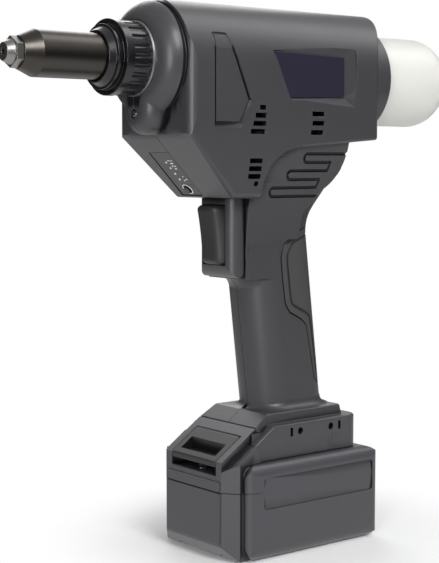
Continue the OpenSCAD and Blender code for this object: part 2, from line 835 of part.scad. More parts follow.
// Ribs in the shells that carry the drive frame
module frame_ribs() for (x = [plate_rear_x + 1, plate_front_x - 1.5])
  slab_x(x, x + 4) difference() {
    body_section(wall - 0.5);
    translate([0, nose_z]) circle(r = frame_r + run);
    translate([-big, 0]) square([2 * big, nose_z - 17]);
  }

module housing_outer() {
  main_body();
  turret();
  intersection() {
    grip_core();
    translate([web_rear_x, -big / 2, 0]) cube([big, big, tail_z - 1]);
  }
  rod_x(drum_x, drum_x + 20, drum_r, collector_z);
  grip_web();
  grip_neck();
  foot_block();
  grip_skirt();
}

module housing_half(side) intersection() {
  difference() {
    union() {
      difference() {
        housing_outer();
        housing_cavity();
      }
      intersection() {
        housing_outer();
        union() {
          frame_ribs();
          screw_bosses();
          board_posts();
        }
      }
    }
    rod_x(inner_front_x - 3, turret_front_x + 1, boss_r + 0.3, nose_z);
    foot_bay();
    grip_pad_form(pad_gap);
    finger_grooves();
    vents(side);
    side_panel_cut(side);
    if (side > 0) badge_recess();
    screw_holes();
    on_slope() translate([-panel_len / 2 - 0.4, -panel_w / 2 - 0.4, -panel_d])
      cube([panel_len + 0.8, panel_w + 0.8, 10]);
    on_slope() translate([button_u, 0, -board_top + 0.5]) cylinder(r = button_r, h = 20);
    rod_x(turret_front_x - 14, turret_front_x + 2, lamp_r, lamp_z);
    if (side > 0) hook_holes();
  }
  half_space(side);
}

module hook_holes() for (s = [-1, 1]) {
  translate([hook_x + s * hook_pitch / 2, foot_half_w - 3.5, foot_base_z + 13.8]) rotate([-90, 0, 0])
    cylinder(r = hook_hole_r, h = 10);
  translate([hook_x + s * (hook_pitch / 2 + 6.6) - 0.9, foot_half_w - 2, foot_base_z + 11.4])
    cube([1.8, 10, 4.8]);
}

module left_housing() color(shade) housing_half(1);
module right_housing() color(shade) housing_half(-1);

module grip_pad() color(shade_dark) grip_pad_form(0);

module badge_plate() color("#25223a")
  side_slab(body_half_w - badge_d, body_half_w - 0.6) badge_outline(0);

module control_panel() color(shade_black) difference() {
  on_slope() translate([-panel_len / 2, -panel_w / 2, -panel_d]) cube([panel_len, panel_w, panel_d - 0.3]);
  on_slope() translate([button_u, 0, -5]) cylinder(r = button_r + free, h = 10);
  on_slope() for (i = [0:3]) translate([-9 + lamp_pitch * i, 0, -5]) cylinder(r = 0.7, h = 10);
}

module indicator_lamps() color("white") on_slope() for (i = [0:3])
  translate([-9 + lamp_pitch * i, 0, -panel_d]) cylinder(r = 0.65, h = panel_d);

module mode_button() color(shade_dark) on_slope() translate([button_u, 0, 0]) {
  translate([0, 0, -board_top + 1.4]) cylinder(r = button_r - free, h = board_top - 1.4);
  translate([0, 0, -0.2]) cylinder(r = button_r, h = 1.1);
}

module control_board() color("#1f5a38") on_slope() translate([-16, -4, -board_top - board_t])
  cube([30, 26, board_t]);

module work_light() color("#d8dde0") {
  rod_x(turret_front_x - 13, turret_front_x - 2, lamp_r - run, lamp_z);
  translate([turret_front_x - 2, 0, lamp_z]) sphere(r = lamp_r - run);
}

// True involute tooth outline
function inv_point(rb, t) = [rb * (cos(t) + t * PI / 180 * sin(t)), rb * (sin(t) - t * PI / 180 * cos(t))];
function turn(p, a) = [p[0] * cos(a) - p[1] * sin(a), p[0] * sin(a) + p[1] * cos(a)];
module gear_outline(m, teeth, tip_factor) {
  backlash = 0.1;
  rp = m * teeth / 2;
  rb = rp * cos(20);
  tip = rp + m * tip_factor;
  root = rp - 1.2 * m;
  t_tip = sqrt(tip * tip / (rb * rb) - 1) * 180 / PI;
  half = 90 / teeth - backlash / rp * 90 / PI + tan(20) * 180 / PI - 20;
  steps = 3;
  flank = [for (i = [0:steps]) turn(inv_point(rb, t_tip * i / steps), -half)];
  tooth = concat([turn([root, 0], -half)], flank);
  mirrored = [for (i = [len(tooth) - 1:-1:0]) [tooth[i][0], -tooth[i][1]]];
  polygon([for (k = [0:teeth - 1]) each [for (p = concat(tooth, mirrored)) turn(p, 360 * k / teeth)]]);
}

// Gear along X; phase turns it so that it meshes at rest
module gear_x(x0, w, z, m, teeth, tip_factor, phase) slab_x(x0, x0 + w) translate([0, z]) rotate(phase)
  gear_outline(m, teeth, tip_factor);

// Closed coil of round wire along +z, one unbroken tube of six sides
module coil(r, wire, len, turns) {
  rings = turns * 8;
  sides = 6;
  points = [
    for (i = [0:rings]) for (j = [0:sides - 1])
      let (a = 360 * turns * i / rings, b = 360 * j / sides, reach = r + wire * cos(b))
        [reach * cos(a), reach * sin(a), wire * sin(b) + len * i / rings]
  ];
  walls = [
    for (i = [0:rings - 1]) for (j = [0:sides - 1])
      let (a = i * sides + j, b = i * sides + (j + 1) % sides)
        each [[a, a + sides, b], [b, a + sides, b + sides]]
  ];
  caps = [[for (j = [0:sides - 1]) j], [for (j = [0:sides - 1]) (rings + 1) * sides - 1 - j]];
  echo(coil_gap = len / turns - 2 * wire);
  translate([0, 0, wire]) polyhedron(points, concat(walls, caps));
}

module nosepiece() color(steel_dark) difference() {
  union() {
    rod_x(cone_end_x - stem_len, cone_end_x + eps, stem_r, nose_z);
    translate([cone_end_x, 0, nose_z]) rotate([0, 90, 0])
      cylinder(r = nosepiece_flats / 2 / cos(30), h = nosepiece_hex_len, $fn = 6);
    cone_along_x(hex_end_x, tip_x, nosepiece_flats / 2 - 0.6, nosepiece_tip_r, nose_z);
    rod_x(opener_x, cone_end_x - stem_len + eps, opener_r, nose_z);
  }
  rod_x(opener_x - 1, tip_x + 1, mandrel_r, nose_z);
}

module nose_sleeve() color(steel_dark) difference() {
  union() {
    rod_x(flange_x, flange_x + flange_t, boss_r - 1, nose_z);
    rod_x(flange_x, barrel_end_x, barrel_r, nose_z);
    cone_along_x(barrel_end_x, cone_end_x, barrel_r, barrel_tip_r, nose_z);
  }
  rod_x(flange_x - 1, cone_end_x - stem_len, barrel_bore_r, nose_z);
  rod_x(flange_x - 1, cone_end_x + 1, stem_r, nose_z);
}

module lock_ring() color(shade_black) difference() {
  step_len = ring_front_len / 2;
  union() {
    rod_x(ring_x, ring_collar_x, ring_r, nose_z);
    rod_x(ring_collar_x, ring_front_x, ring_r + 0.3, nose_z);
    rod_x(ring_front_x, ring_front_x + step_len, ring_r - 2.6, nose_z);
    cone_along_x(ring_front_x + step_len, ring_end_x, ring_r - 4.1, ring_r - 6.1, nose_z);
  }
  for (i = [0:ring_flutes - 1]) translate([ring_x - 1, 0, nose_z]) rotate([360 * i / ring_flutes, 0, 0])
    translate([0, 0, ring_r + ring_flute_r - ring_flute_d]) rotate([0, 90, 0])
      cylinder(r = ring_flute_r, h = ring_flute_len - 0.5);
  rod_x(ring_x - 1, flange_x + flange_t + free, boss_r + run, nose_z);
  rod_x(ring_x - 1, ring_end_x + 1, barrel_r + free, nose_z);
}

module lock_washer() color(steel)
  tube_x(turret_front_x, turret_front_x + washer_t, ring_r + 0.3, boss_r + free, nose_z);

// Lobed outline of a frame plate in Y and Z
module plate_outline() {
  translate([0, nose_z]) circle(r = frame_r);
  translate([-13, motor_z]) square([26, nose_z - motor_z]);
  translate([0, motor_z]) circle(r = 13);
}

module drive_frame() color(alloy) difference() {
  union() {
    slab_x(plate_rear_x, plate_rear_x + plate_rear_t) plate_outline();
    slab_x(plate_mid_x, plate_mid_x + plate_mid_t) plate_outline();
    rod_x(plate_front_x, plate_front_x + plate_front_t, frame_r, nose_z);
    tube_x(plate_front_x, inner_front_x - free, frame_tube_r, frame_tube_r - wall, nose_z);
    rod_x(inner_front_x - free - wall, inner_front_x - free, frame_tube_r, nose_z);
    rod_x(inner_front_x - free - wall, flange_x, boss_r, nose_z);
    intersection() {
      tube_x(plate_rear_x, plate_front_x + plate_front_t, frame_r, strap_in_r, nose_z);
      translate([-big / 2, -big / 2, nose_z - 11]) cube([big, big, 22]);
    }
  }
  rod_x(plate_rear_x - 1, plate_rear_x + plate_rear_t + 1, neck_r + 5, nose_z);
  rod_x(plate_mid_x - 1, plate_mid_x + plate_mid_t + 1, nut_r + 0.8, nose_z);
  rod_x(plate_rear_x - 1, plate_mid_x + plate_mid_t + 1, counter_r + bush_t, counter_z);
  rod_x(plate_rear_x - 1, plate_mid_x + plate_mid_t + 1, shaft_r + 3, motor_z);
  rod_x(plate_front_x - 1, inner_front_x, screw_r + 1.5, nose_z);
  rod_x(inner_front_x - 2 * wall, flange_x + 1, barrel_r + 0.6, nose_z);
}

module pull_spindle() color(steel) difference() {
  union() {
    rod_x(plate_rear_x + plate_rear_t, case_x, screw_r, nose_z);
    rod_x(tail_end_x, plate_rear_x + plate_rear_t + eps, tail_r, nose_z);
    rod_x(case_x - eps, case_x + stud_len, stud_r, nose_z);
  }
  rod_x(tail_end_x - 1, case_x + stud_len + 1, passage_r, nose_z);
}

module rear_bush() color(brass_tone) tube_x(socket_x, inner_rear_x, tail_r + 2, tail_r + run, nose_z);

module jaw_case() color(steel_dark) difference() {
  rod_x(case_x, case_end_x, case_r, nose_z);
  rod_x(case_x - 1, case_x + stud_len, stud_r, nose_z);
  rod_x(case_x + stud_len - eps, cone_x, chamber_r, nose_z);
  cone_along_x(cone_x - eps, case_end_x + eps, cone_r0, cone_r1, nose_z);
}

// Jaw: a third of a cone with a gap to its neighbours
module jaw(angle) {
  sector = 100;
  r0 = cone_r0 - (jaw_x - cone_x) * tan(jaw_angle) - jaw_gap;
  r1 = r0 - jaw_len * tan(jaw_angle);
  color(steel) translate([jaw_x, 0, nose_z]) rotate([angle, 0, 0]) rotate([0, 90, 0])
    rotate([0, 0, -sector / 2]) rotate_extrude(angle = sector)
      polygon([[mandrel_r + 0.4, 0], [r0, 0], [r1, jaw_len], [mandrel_r + 0.4, jaw_len]]);
}
module jaw_1() jaw(0);
module jaw_2() jaw(120);
module jaw_3() jaw(240);

module jaw_pusher() color(steel) difference() {
  union() {
    rod_x(pusher_x, jaw_x - free - 3, chamber_r - free, nose_z);
    cone_along_x(jaw_x - free - 3, jaw_x - free, chamber_r - free, passage_r + 0.8, nose_z);
  }
  rod_x(pusher_x - 1, jaw_x, mandrel_r + 0.8, nose_z);
}

module jaw_spring() color(steel) translate([case_x + stud_len + free, 0, nose_z]) rotate([0, 90, 0])
  coil(chamber_r - 1.6, 0.6, pusher_x - case_x - stud_len - 2 * free - 1.2, 9);

module ball_nut() color(steel) difference() {
  union() {
    rod_x(nut_gear_x, nut_front_x - run, nut_r, nose_z);
    rod_x(plate_rear_x, nut_gear_x + eps, neck_r, nose_z);
  }
  rod_x(plate_rear_x - 1, nut_front_x + 1, screw_r + run, nose_z);
}

module nut_gear() color(steel_dark) difference() {
  gear_x(nut_gear_x, nut_gear_w, nose_z, nut_gear_m, nut_gear_teeth, 0.8, -90);
  rod_x(nut_gear_x - 1, nut_gear_x + nut_gear_w + 1, nut_r, nose_z);
}

module nut_bearing() color(steel)
  tube_x(plate_rear_x, plate_rear_x + plate_rear_t, neck_r + 5, neck_r + run, nose_z);

module thrust_bearing() color(steel)
  tube_x(nut_front_x, plate_front_x, nut_r + 3, screw_r + 1.5, nose_z);

module counter_shaft() color(steel) {
  rod_x(plate_rear_x, plate_mid_x + plate_mid_t, counter_r, counter_z);
  mesh_phase = 90 + 180 / counter_pinion_teeth;
  gear_x(nut_gear_x, nut_gear_w, counter_z, nut_gear_m, counter_pinion_teeth, 1, mesh_phase);
}

module counter_gear() color(steel_dark) difference() {
  gear_x(motor_gear_x, motor_gear_w, counter_z, motor_gear_m, counter_gear_teeth, 0.6, -90);
  rod_x(motor_gear_x - 1, motor_gear_x + motor_gear_w + 1, counter_r, counter_z);
}

module counter_bushes() color(brass_tone) {
  tube_x(plate_rear_x, plate_rear_x + plate_rear_t, counter_r + bush_t, counter_r + run, counter_z);
  tube_x(plate_mid_x, plate_mid_x + plate_mid_t, counter_r + bush_t, counter_r + run, counter_z);
}

module motor_can() color(steel_dark) difference() {
  rod_x(motor_x, motor_end_x, motor_r, motor_z);
  rod_x(motor_x + 5, motor_end_x - 5, motor_r - 1, motor_z);
  rod_x(motor_x - 1, motor_end_x + 1, shaft_r + 3, motor_z);
}

module stator() color(copper_tone) difference() {
  rod_x(motor_x + 8, motor_end_x - 8, motor_r - 1, motor_z);
  rod_x(motor_x + 7, motor_end_x - 7, rotor_r + free, motor_z);
}

module rotor() color(steel) {
  rod_x(motor_gear_x, motor_end_x + fan_t + 0.5, shaft_r, motor_z);
  rod_x(motor_x + 9, motor_end_x - 9, rotor_r, motor_z);
}

module motor_pinion() color(steel) difference() {
  mesh_phase = 90 + 180 / motor_pinion_teeth;
  gear_x(motor_gear_x, motor_gear_w, motor_z, motor_gear_m, motor_pinion_teeth, 1, mesh_phase);
  rod_x(motor_gear_x - 1, motor_gear_x + motor_gear_w + 1, shaft_r, motor_z);
}

module cooling_fan() color(shade_black) difference() {
  union() {
    rod_x(motor_end_x + 0.5, motor_end_x + 1.5, fan_r, motor_z);
    rod_x(motor_end_x + 0.5, motor_end_x + fan_t, shaft_r + 2, motor_z);
    for (i = [0:10]) translate([motor_end_x + 1, 0, motor_z]) rotate([i * 360 / 11, 0, 0])
      translate([0, -0.4, shaft_r + 1]) cube([fan_t - 1, 0.8, fan_r - shaft_r - 1.5]);
  }
  rod_x(motor_end_x, motor_end_x + fan_t + 1, shaft_r, motor_z);
}

module motor_bearings() color(steel) for (x = [motor_x, motor_end_x - 5])
  tube_x(x, x + 5, shaft_r + 3, shaft_r + run, motor_z);

// Side view of the trigger: a shallow hollow at its front, a rake from top to bottom
module trigger_side() {
  hollow = 0.6;
  top = [bezel_front_x + trigger_out, trigger_top_z];
  low = [bezel_front_x + trigger_out - trigger_rake, trigger_low_z];
  chord = top - low;
  out = [chord[1], -chord[0]] / norm(chord);
  curve_r = (pow(norm(chord) / 2, 2) + hollow * hollow) / (2 * hollow);
  difference() {
    polygon([[trigger_back_x, trigger_low_z], [trigger_back_x, trigger_top_z], top, low]);
    translate((top + low) / 2 + out * (curve_r - hollow)) circle(r = curve_r, $fn = 720);
  }
}

module trigger() color(shade_dark) {
  rake = atan(trigger_rake / (trigger_top_z - trigger_low_z));
  intersection() {
    slab_y(trigger_half_w) trigger_side();
    translate([bezel_front_x + trigger_out - trigger_rake, 0, trigger_low_z]) rotate([0, rake, 0])
      translate([0, 0, -5]) linear_extrude(height = 50)
        round_box(-30, -trigger_half_w, 0, trigger_half_w, 6.5);
  }
  rod_x(switch_front_x - 3, trigger_back_x + eps, trigger_stem_r, trigger_mid_z);
}

module trigger_bezel() color(shade_dark) difference() {
  intersection() {
    slab_y(bezel_half_w) difference() {
      translate([bezel_rear_x, bezel_low_z]) square([bezel_front_x - bezel_rear_x, chin_z - bezel_low_z]);
      translate([bezel_rear_x, bezel_low_z]) rotate(180) corner_cut(6);
      translate([bezel_front_x, bezel_low_z]) rotate(-90) corner_cut(bezel_round);
    }
    slab_z(bezel_low_z - 1, chin_z) round_box(-25, -bezel_half_w, bezel_front_x, bezel_half_w, 7);
  }
  translate([bezel_rear_x - 1, -trigger_half_w - free, trigger_low_z - free])
    cube([20, 2 * (trigger_half_w + free), trigger_top_z - trigger_low_z + 2 * free]);
}

module trigger_switch() color(shade_black) difference() {
  translate([switch_front_x - switch_len, -trigger_half_w - 2 + free, trigger_mid_z - switch_h / 2])
    cube([switch_len, 2 * (trigger_half_w + 2 - free), switch_h]);
  rod_x(switch_front_x - 3 - trigger_travel - 1, switch_front_x + 1, trigger_stem_r + run, trigger_mid_z);
}

module trigger_spring() color(steel) translate([switch_front_x + free, 0, trigger_mid_z]) rotate([0, 90, 0])
  coil(trigger_stem_r + 1.4, 0.5, trigger_back_x - switch_front_x - 2 * free - 1, 7);

// Round lead through a short list of points
module lead(points, r) for (i = [0:len(points) - 2]) {
  d = points[i + 1] - points[i];
  translate(points[i]) rotate([0, acos(d[2] / norm(d)), atan2(d[1], d[0])]) cylinder(r = r, h = norm(d));
  if (i > 0) translate(points[i]) sphere(r = r + 0.05);
}

module power_leads() color("#7a1f1f") for (y = [-lead_y, lead_y]) {
  low_z = trigger_mid_z - switch_h / 2;
  top_z = trigger_mid_z + switch_h / 2;
  motor_under = sqrt(motor_r * motor_r - pow(lead_y - lead_r, 2)) + run;
  lead([
    [terminal_x - 1.5, y, bay_top_z], [terminal_x - 1.5, y, bay_top_z + 3], [grip_x - 5, y, bay_top_z + 3],
    [grip_x - 3, y, deck_z + 10], [grip_x + 7, y, low_z - 4], [grip_x + 7, y, low_z - run]
  ], lead_r);
  lead([
    [motor_x + 6, y, top_z + run], [motor_x + 6, y, top_z + 4], [motor_x + 12, y, motor_z - motor_under - 4],
    [motor_x + 12, y, motor_z - motor_under]
  ], lead_r);
}

module housing_screws() color(steel) for (i = [0:len(screw_at) - 1])
  translate([screw_at[i][0], 0, screw_at[i][1]]) {
    rotate([90, 0, 0]) translate([0, 0, -6]) cylinder(r = fix_r, h = head_y[i] + 6);
    translate([0, -head_y[i], 0]) rotate([90, 0, 0]) difference() {
      cylinder(r = fix_head_r, h = 2.2);
      translate([0, 0, 0.8]) cylinder(r = 1.5, h = 3, $fn = 6);
    }
  }

module collector_socket() color(shade_black) difference() {
  rod_x(drum_x + 1, inner_rear_x, hole_r - 0.1, collector_z);
  rod_x(collector_mouth_x - 5, socket_x, collector_r + free, collector_z);
  rod_x(socket_x - 1, inner_rear_x + 1, tail_r + 2, nose_z);
}

module collector_seal() color(shade_black)
  tube_x(collector_mouth_x + free, socket_x, collector_r, collector_r - 2.4, collector_z);

module mandrel_collector() color([0.92, 0.92, 0.9, 0.8]) {
  len = collector_mouth_x - collector_end_x;
  translate([collector_mouth_x, 0, collector_z]) rotate([0, -90, 0]) rotate_extrude() difference() {
    shoulder_profile(collector_r, len, collector_round);
    translate([0, -1]) shoulder_profile(
      collector_r - collector_wall, len - collector_wall + 1, collector_round - collector_wall
    );
  }
}

module tool_terminals() color(shade_black) translate([bay_x, -terminal_half_w, terminal_z])
  cube([terminal_x - bay_x, 2 * terminal_half_w, bay_top_z - terminal_z]);

module contact_blades() color(brass_tone) for (y = contact_y)
  translate([terminal_x, y - 0.4, terminal_z + 2]) cube([blade_len, 0.8, 6]);

// Outer form of the pack's wide body, and by an inset its inside
module pack_main(inset = 0) {
  r = pack_round - inset;
  intersection() {
    slab_y(pack_half_w - inset)
      round_box(pack_rear_x + inset, inset, pack_body_front_x - inset, pack_shoulder_z - inset, r);
    slab_x(pack_rear_x, pack_body_front_x)
      round_box(-pack_half_w + inset, inset, pack_half_w - inset, pack_shoulder_z - inset, r - 2);
    slab_z(0, pack_shoulder_z) round_box(
      pack_rear_x + inset, -pack_half_w + inset, pack_body_front_x - inset, pack_half_w - inset,
      pack_corner_r - inset
    );
  }
}

function slope_z(x) = deck_z - (x - deck_front_x) * slope_t;

// Front block: a middle part on the slope, and lower shoulders beside it
module pack_block() {
  toe = 7;
  neck_x = pack_body_front_x + 3;
  intersection() {
    slab_y(block_half_w) polygon([
      [pack_body_front_x - 10, 0], [pack_body_front_x - 10, pack_shoulder_z],
      [seam_x + free, pack_shoulder_z], [seam_x + free, slope_z(seam_x + free)],
      [pack_front_x, slope_z(pack_front_x)], [pack_front_x, toe + 1],
      [pack_front_x - toe, 0]
    ]);
    slab_z(0, deck_z) translate([0, -face_half_w]) square([pack_front_x, 2 * face_half_w]);
  }
  intersection() {
    slab_y(block_half_w) polygon([
      [pack_body_front_x - 10, 0], [pack_body_front_x - 10, pack_shoulder_z - 5],
      [seam_x + 2 + free, pack_shoulder_z - 5], [seam_x + 2 + free, foot_base_z],
      [seam_x + 5.5 + free, slope_z(seam_x + 5.5) - 5],
      [pack_front_x, slope_z(pack_front_x) - 5], [pack_front_x, toe + 1], [pack_front_x - toe, 0]
    ]);
    slab_z(0, deck_z) polygon([
      [0, block_half_w - 1.5], [neck_x, block_half_w - 1.5], [neck_x, block_half_w],
      [pack_front_x, face_half_w], [pack_front_x, -face_half_w], [neck_x, -block_half_w],
      [neck_x, -block_half_w + 1.5], [0, -block_half_w + 1.5]
    ]);
  }
}

// Head that slides between the foot's rails
module pack_head() {
  head_w = bay_half_w - free;
  neck_w = bay_half_w - rail_in - free;
  top = bay_top_z - free;
  slab_x(bay_x + free, seam_x + 4) polygon([
    [-neck_w, pack_shoulder_z - 1], [neck_w, pack_shoulder_z - 1], [neck_w, rail_z1 + free],
    [head_w, rail_z1 + free], [head_w, top], [-head_w, top], [-head_w, rail_z1 + free],
    [-neck_w, rail_z1 + free]
  ]);
}

// Slots in the head for the tool's terminal block and blades
module head_slots() {
  translate([foot_rear_x, -terminal_half_w - free, terminal_z - free])
    cube([terminal_x - foot_rear_x + free, 2 * (terminal_half_w + free), 30]);
  for (y = contact_y) {
    translate([foot_rear_x, y - 2.4, terminal_z + 0.5])
      cube([terminal_x - foot_rear_x + blade_len + 1, 4.8, 30]);
    translate([terminal_x + 6, y - 1, pack_shoulder_z - 6]) cube([6, 2, 14]);
  }
}

// Well that the latch moves in
module latch_well() {
  translate([latch_x - free, -latch_half_w - free, latch_low_z - latch_travel - free])
    cube([30, 2 * (latch_half_w + free), 40]);
  hook_w = 2 * (latch_hook_half_w + free);
  slot_x = latch_x - latch_hook_len - free;
  translate([slot_x, -hook_w / 2, latch_hook_z - latch_travel - free]) {
    cube([latch_hook_len + 1, hook_w, latch_travel + latch_hook_t + 2 * free]);
    cube([seam_x + free - slot_x, hook_w, 40]);
  }
  translate([latch_spring_x, 0, latch_spring_z]) cylinder(r = 3, h = 20);
}

module pack_outer() {
  pack_main();
  pack_block();
  pack_head();
}

module battery_upper_case() color(shade) difference() {
  pack_outer();
  translate([-big / 2, -big / 2, -1]) cube([big, big, pack_part_z + 1]);
  pack_main(pack_wall);
  head_slots();
  latch_well();
  label_recess();
  pack_screw_holes();
}

module battery_lower_case() color(shade) difference() {
  pack_outer();
  translate([-big / 2, -big / 2, pack_part_z]) cube([big, big, big]);
  pack_main(pack_wall);
  label_recess();
  pack_screw_holes();
}

// Shallow plain recess on the left side of the pack
module label_recess() side_slab(pack_half_w - 0.5, pack_half_w + 5)
  round_box(pack_rear_x + 5.5, 28, pack_body_front_x - 10.5, 45.5, 2);

module pack_screw_holes() for (y = [-18, 18]) translate([pack_front_x - 8.5, y, 0]) {
  translate([0, 0, -1]) cylinder(r = fix_head_r + 0.2, h = 7);
  cylinder(r = fix_r + run, h = pack_part_z + 5);
}

module battery_screws() color(steel) for (y = [-18, 18]) translate([pack_front_x - 8.5, y, 0]) {
  translate([0, 0, 6]) cylinder(r = fix_r, h = pack_part_z - 1.5);
  difference() {
    translate([0, 0, 3.8]) cylinder(r = fix_head_r, h = 2.2);
    translate([0, 0, 3]) cylinder(r = 1.5, h = 2.2, $fn = 6);
  }
}

module battery_latch() color(shade_dark) difference() {
  union() {
    slab_y(latch_half_w) polygon([
      [latch_x, latch_low_z], [pack_front_x, latch_low_z], [pack_front_x, slope_z(pack_front_x)],
      [latch_x, slope_z(latch_x)]
    ]);
    translate([latch_x - latch_hook_len, -latch_hook_half_w, latch_hook_z])
      cube([latch_hook_len + 1, 2 * latch_hook_half_w, latch_hook_t]);
    translate([latch_x - latch_hook_len, -latch_hook_half_w, latch_hook_z])
      cube([3, 2 * latch_hook_half_w, bay_top_z - latch_hook_z + 0.2]);
  }
  translate([pocket_x, -pocket_half_w, pocket_z]) cube([pocket_len, 2 * pocket_half_w, 20]);
}

module latch_spring() color(steel) translate([latch_spring_x, 0, latch_spring_z + free])
  coil(2, 0.4, latch_low_z - latch_spring_z - 2 * free - 0.8, 6);

module battery_cells() color("#3a7a52") for (i = [0:cell_count - 1])
  translate([cell_x0 + i * cell_pitch, 0, cell_z]) rotate([90, 0, 0])
    cylinder(r = cell_d / 2, h = cell_len, center = true);

module cell_holder() color(shade_black) difference() {
  union() {
    translate([holder_x0, -holder_half_w, pack_wall]) cube([holder_len, 2 * holder_half_w, 3]);
    for (s = [-1, 1]) translate([holder_x0, s * (holder_half_w - 10) - 3, pack_wall])
      cube([holder_len, 6, cell_z - 3 - pack_wall]);
  }
  for (i = [0:cell_count - 1]) translate([cell_x0 + i * cell_pitch, 0, cell_z]) rotate([90, 0, 0])
    cylinder(r = cell_d / 2 + run, h = big, center = true);
}

module battery_board() color("#1f5a38")
  translate([holder_x0 + 4, -holder_half_w + 3, cell_z + cell_d / 2 + 0.3])
    cube([holder_len - 8, 2 * (holder_half_w - 3), 1.6]);

module battery_contacts() color(brass_tone) for (y = contact_y) {
  board_z = cell_z + cell_d / 2 + 1.9;
  for (s = [-1, 1]) translate([terminal_x + 2, y + s * 1.3 - 0.3, terminal_z + 1])
    cube([blade_len - 4, 0.6, 7]);
  translate([terminal_x + 7, y - 0.6, board_z]) cube([4, 1.2, terminal_z + 1 - board_z]);
  translate([terminal_x + 2, y - 1.6, terminal_z + 0.6]) cube([blade_len - 4, 3.2, 0.6]);
}

left_housing();
right_housing();
grip_pad();
badge_plate();
control_panel();
indicator_lamps();
mode_button();
control_board();
work_light();
nosepiece();
nose_sleeve();
lock_ring();
lock_washer();
drive_frame();
pull_spindle();
rear_bush();
jaw_case();
jaw_1();
jaw_2();
jaw_3();
jaw_pusher();
jaw_spring();
ball_nut();
nut_gear();
nut_bearing();
thrust_bearing();
counter_shaft();
counter_gear();
counter_bushes();
motor_can();
stator();
rotor();
motor_pinion();
cooling_fan();
motor_bearings();
trigger();
trigger_bezel();
trigger_switch();
trigger_spring();
power_leads();
housing_screws();
collector_socket();
collector_seal();
mandrel_collector();
tool_terminals();
contact_blades();
battery_lower_case();
battery_upper_case();
battery_latch();
latch_spring();
battery_cells();
cell_holder();
battery_board();
battery_contacts();
battery_screws();
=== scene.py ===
import bpy
import bmesh
import json
import math
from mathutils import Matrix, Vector
from mathutils.bvhtree import BVHTree
from mathutils.interpolate import poly_3d_calc
from mathutils.kdtree import KDTree

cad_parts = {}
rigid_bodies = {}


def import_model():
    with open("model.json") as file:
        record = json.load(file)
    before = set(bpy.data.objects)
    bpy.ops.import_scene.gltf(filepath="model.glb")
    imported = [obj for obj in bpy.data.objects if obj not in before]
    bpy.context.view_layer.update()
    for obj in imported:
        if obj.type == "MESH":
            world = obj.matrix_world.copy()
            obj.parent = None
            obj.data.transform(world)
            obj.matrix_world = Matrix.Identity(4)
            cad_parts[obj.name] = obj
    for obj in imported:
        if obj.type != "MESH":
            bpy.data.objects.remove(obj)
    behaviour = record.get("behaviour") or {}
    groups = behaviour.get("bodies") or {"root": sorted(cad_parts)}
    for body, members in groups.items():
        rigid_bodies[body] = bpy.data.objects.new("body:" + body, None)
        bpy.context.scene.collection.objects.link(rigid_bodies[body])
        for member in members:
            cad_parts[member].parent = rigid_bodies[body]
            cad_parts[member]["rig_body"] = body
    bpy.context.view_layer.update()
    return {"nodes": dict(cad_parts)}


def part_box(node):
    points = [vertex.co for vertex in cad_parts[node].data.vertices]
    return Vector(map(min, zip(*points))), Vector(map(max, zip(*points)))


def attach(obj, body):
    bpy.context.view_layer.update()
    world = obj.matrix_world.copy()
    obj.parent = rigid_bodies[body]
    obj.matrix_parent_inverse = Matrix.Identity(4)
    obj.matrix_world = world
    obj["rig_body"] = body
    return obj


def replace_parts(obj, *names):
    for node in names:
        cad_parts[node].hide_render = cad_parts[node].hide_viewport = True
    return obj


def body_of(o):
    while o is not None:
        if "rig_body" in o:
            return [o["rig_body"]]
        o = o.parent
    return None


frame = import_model()
nodes = frame["nodes"]
scene = bpy.context.scene
scene.view_settings.view_transform = "Standard"
print("frame loaded,", len(nodes), "nodes")

cameraSpot = {"place": (0.5223, 0.60925, 0.2176), "azimuth": 141.4, "elevation": 4.87, "lens": 89.46}


def setCamera():
    a, e = math.radians(cameraSpot["azimuth"]), math.radians(cameraSpot["elevation"])
    back = Vector((math.sin(a) * math.cos(e), -math.cos(a) * math.cos(e), math.sin(e)))
    data = bpy.data.cameras.new("toolCamera")
    data.lens = cameraSpot["lens"]
    data.sensor_width = 36
    data.clip_start = 0.01
    data.clip_end = 50
    cam = bpy.data.objects.new("toolCamera", data)
    cam.location = cameraSpot["place"]
    cam.rotation_euler = (-back).to_track_quat("-Z", "Y").to_euler()
    scene.collection.objects.link(cam)
    scene.camera = cam


setCamera()
print("camera set")


def addNode(tree, kind, **values):
    node = tree.nodes.new(kind)
    for key, value in values.items():
        setattr(node, key, value)
    return node


def wire(tree, source, target):
    tree.links.new(source, target)


def setSockets(node, values):
    for label, value in values.items():
        node.inputs[label].default_value = value


def rampBetween(tree, value, low, high, atLow, atHigh):
    ramp = addNode(tree, "ShaderNodeMapRange", interpolation_type="SMOOTHSTEP")
    wire(tree, value, ramp.inputs["Value"])
    ramp.inputs["From Min"].default_value = low
    ramp.inputs["From Max"].default_value = high
    ramp.inputs["To Min"].default_value = atLow
    ramp.inputs["To Max"].default_value = atHigh
    return ramp.outputs["Result"]


def mixValues(tree, factor, first, second):
    mix = addNode(tree, "ShaderNodeMix", data_type="FLOAT")
    wire(tree, factor, mix.inputs[0])
    for socket, value in ((mix.inputs[2], first), (mix.inputs[3], second)):
        if isinstance(value, float):
            socket.default_value = value
        else:
            wire(tree, value, socket)
    return mix.outputs[0]


def seenRays(tree):
    path = addNode(tree, "ShaderNodeLightPath")
    shine = addNode(tree, "ShaderNodeMath", operation="MAXIMUM")
    wire(tree, path.outputs["Is Glossy Ray"], shine.inputs[0])
    wire(tree, path.outputs["Is Transmission Ray"], shine.inputs[1])
    return path.outputs["Is Camera Ray"], shine.outputs[0]


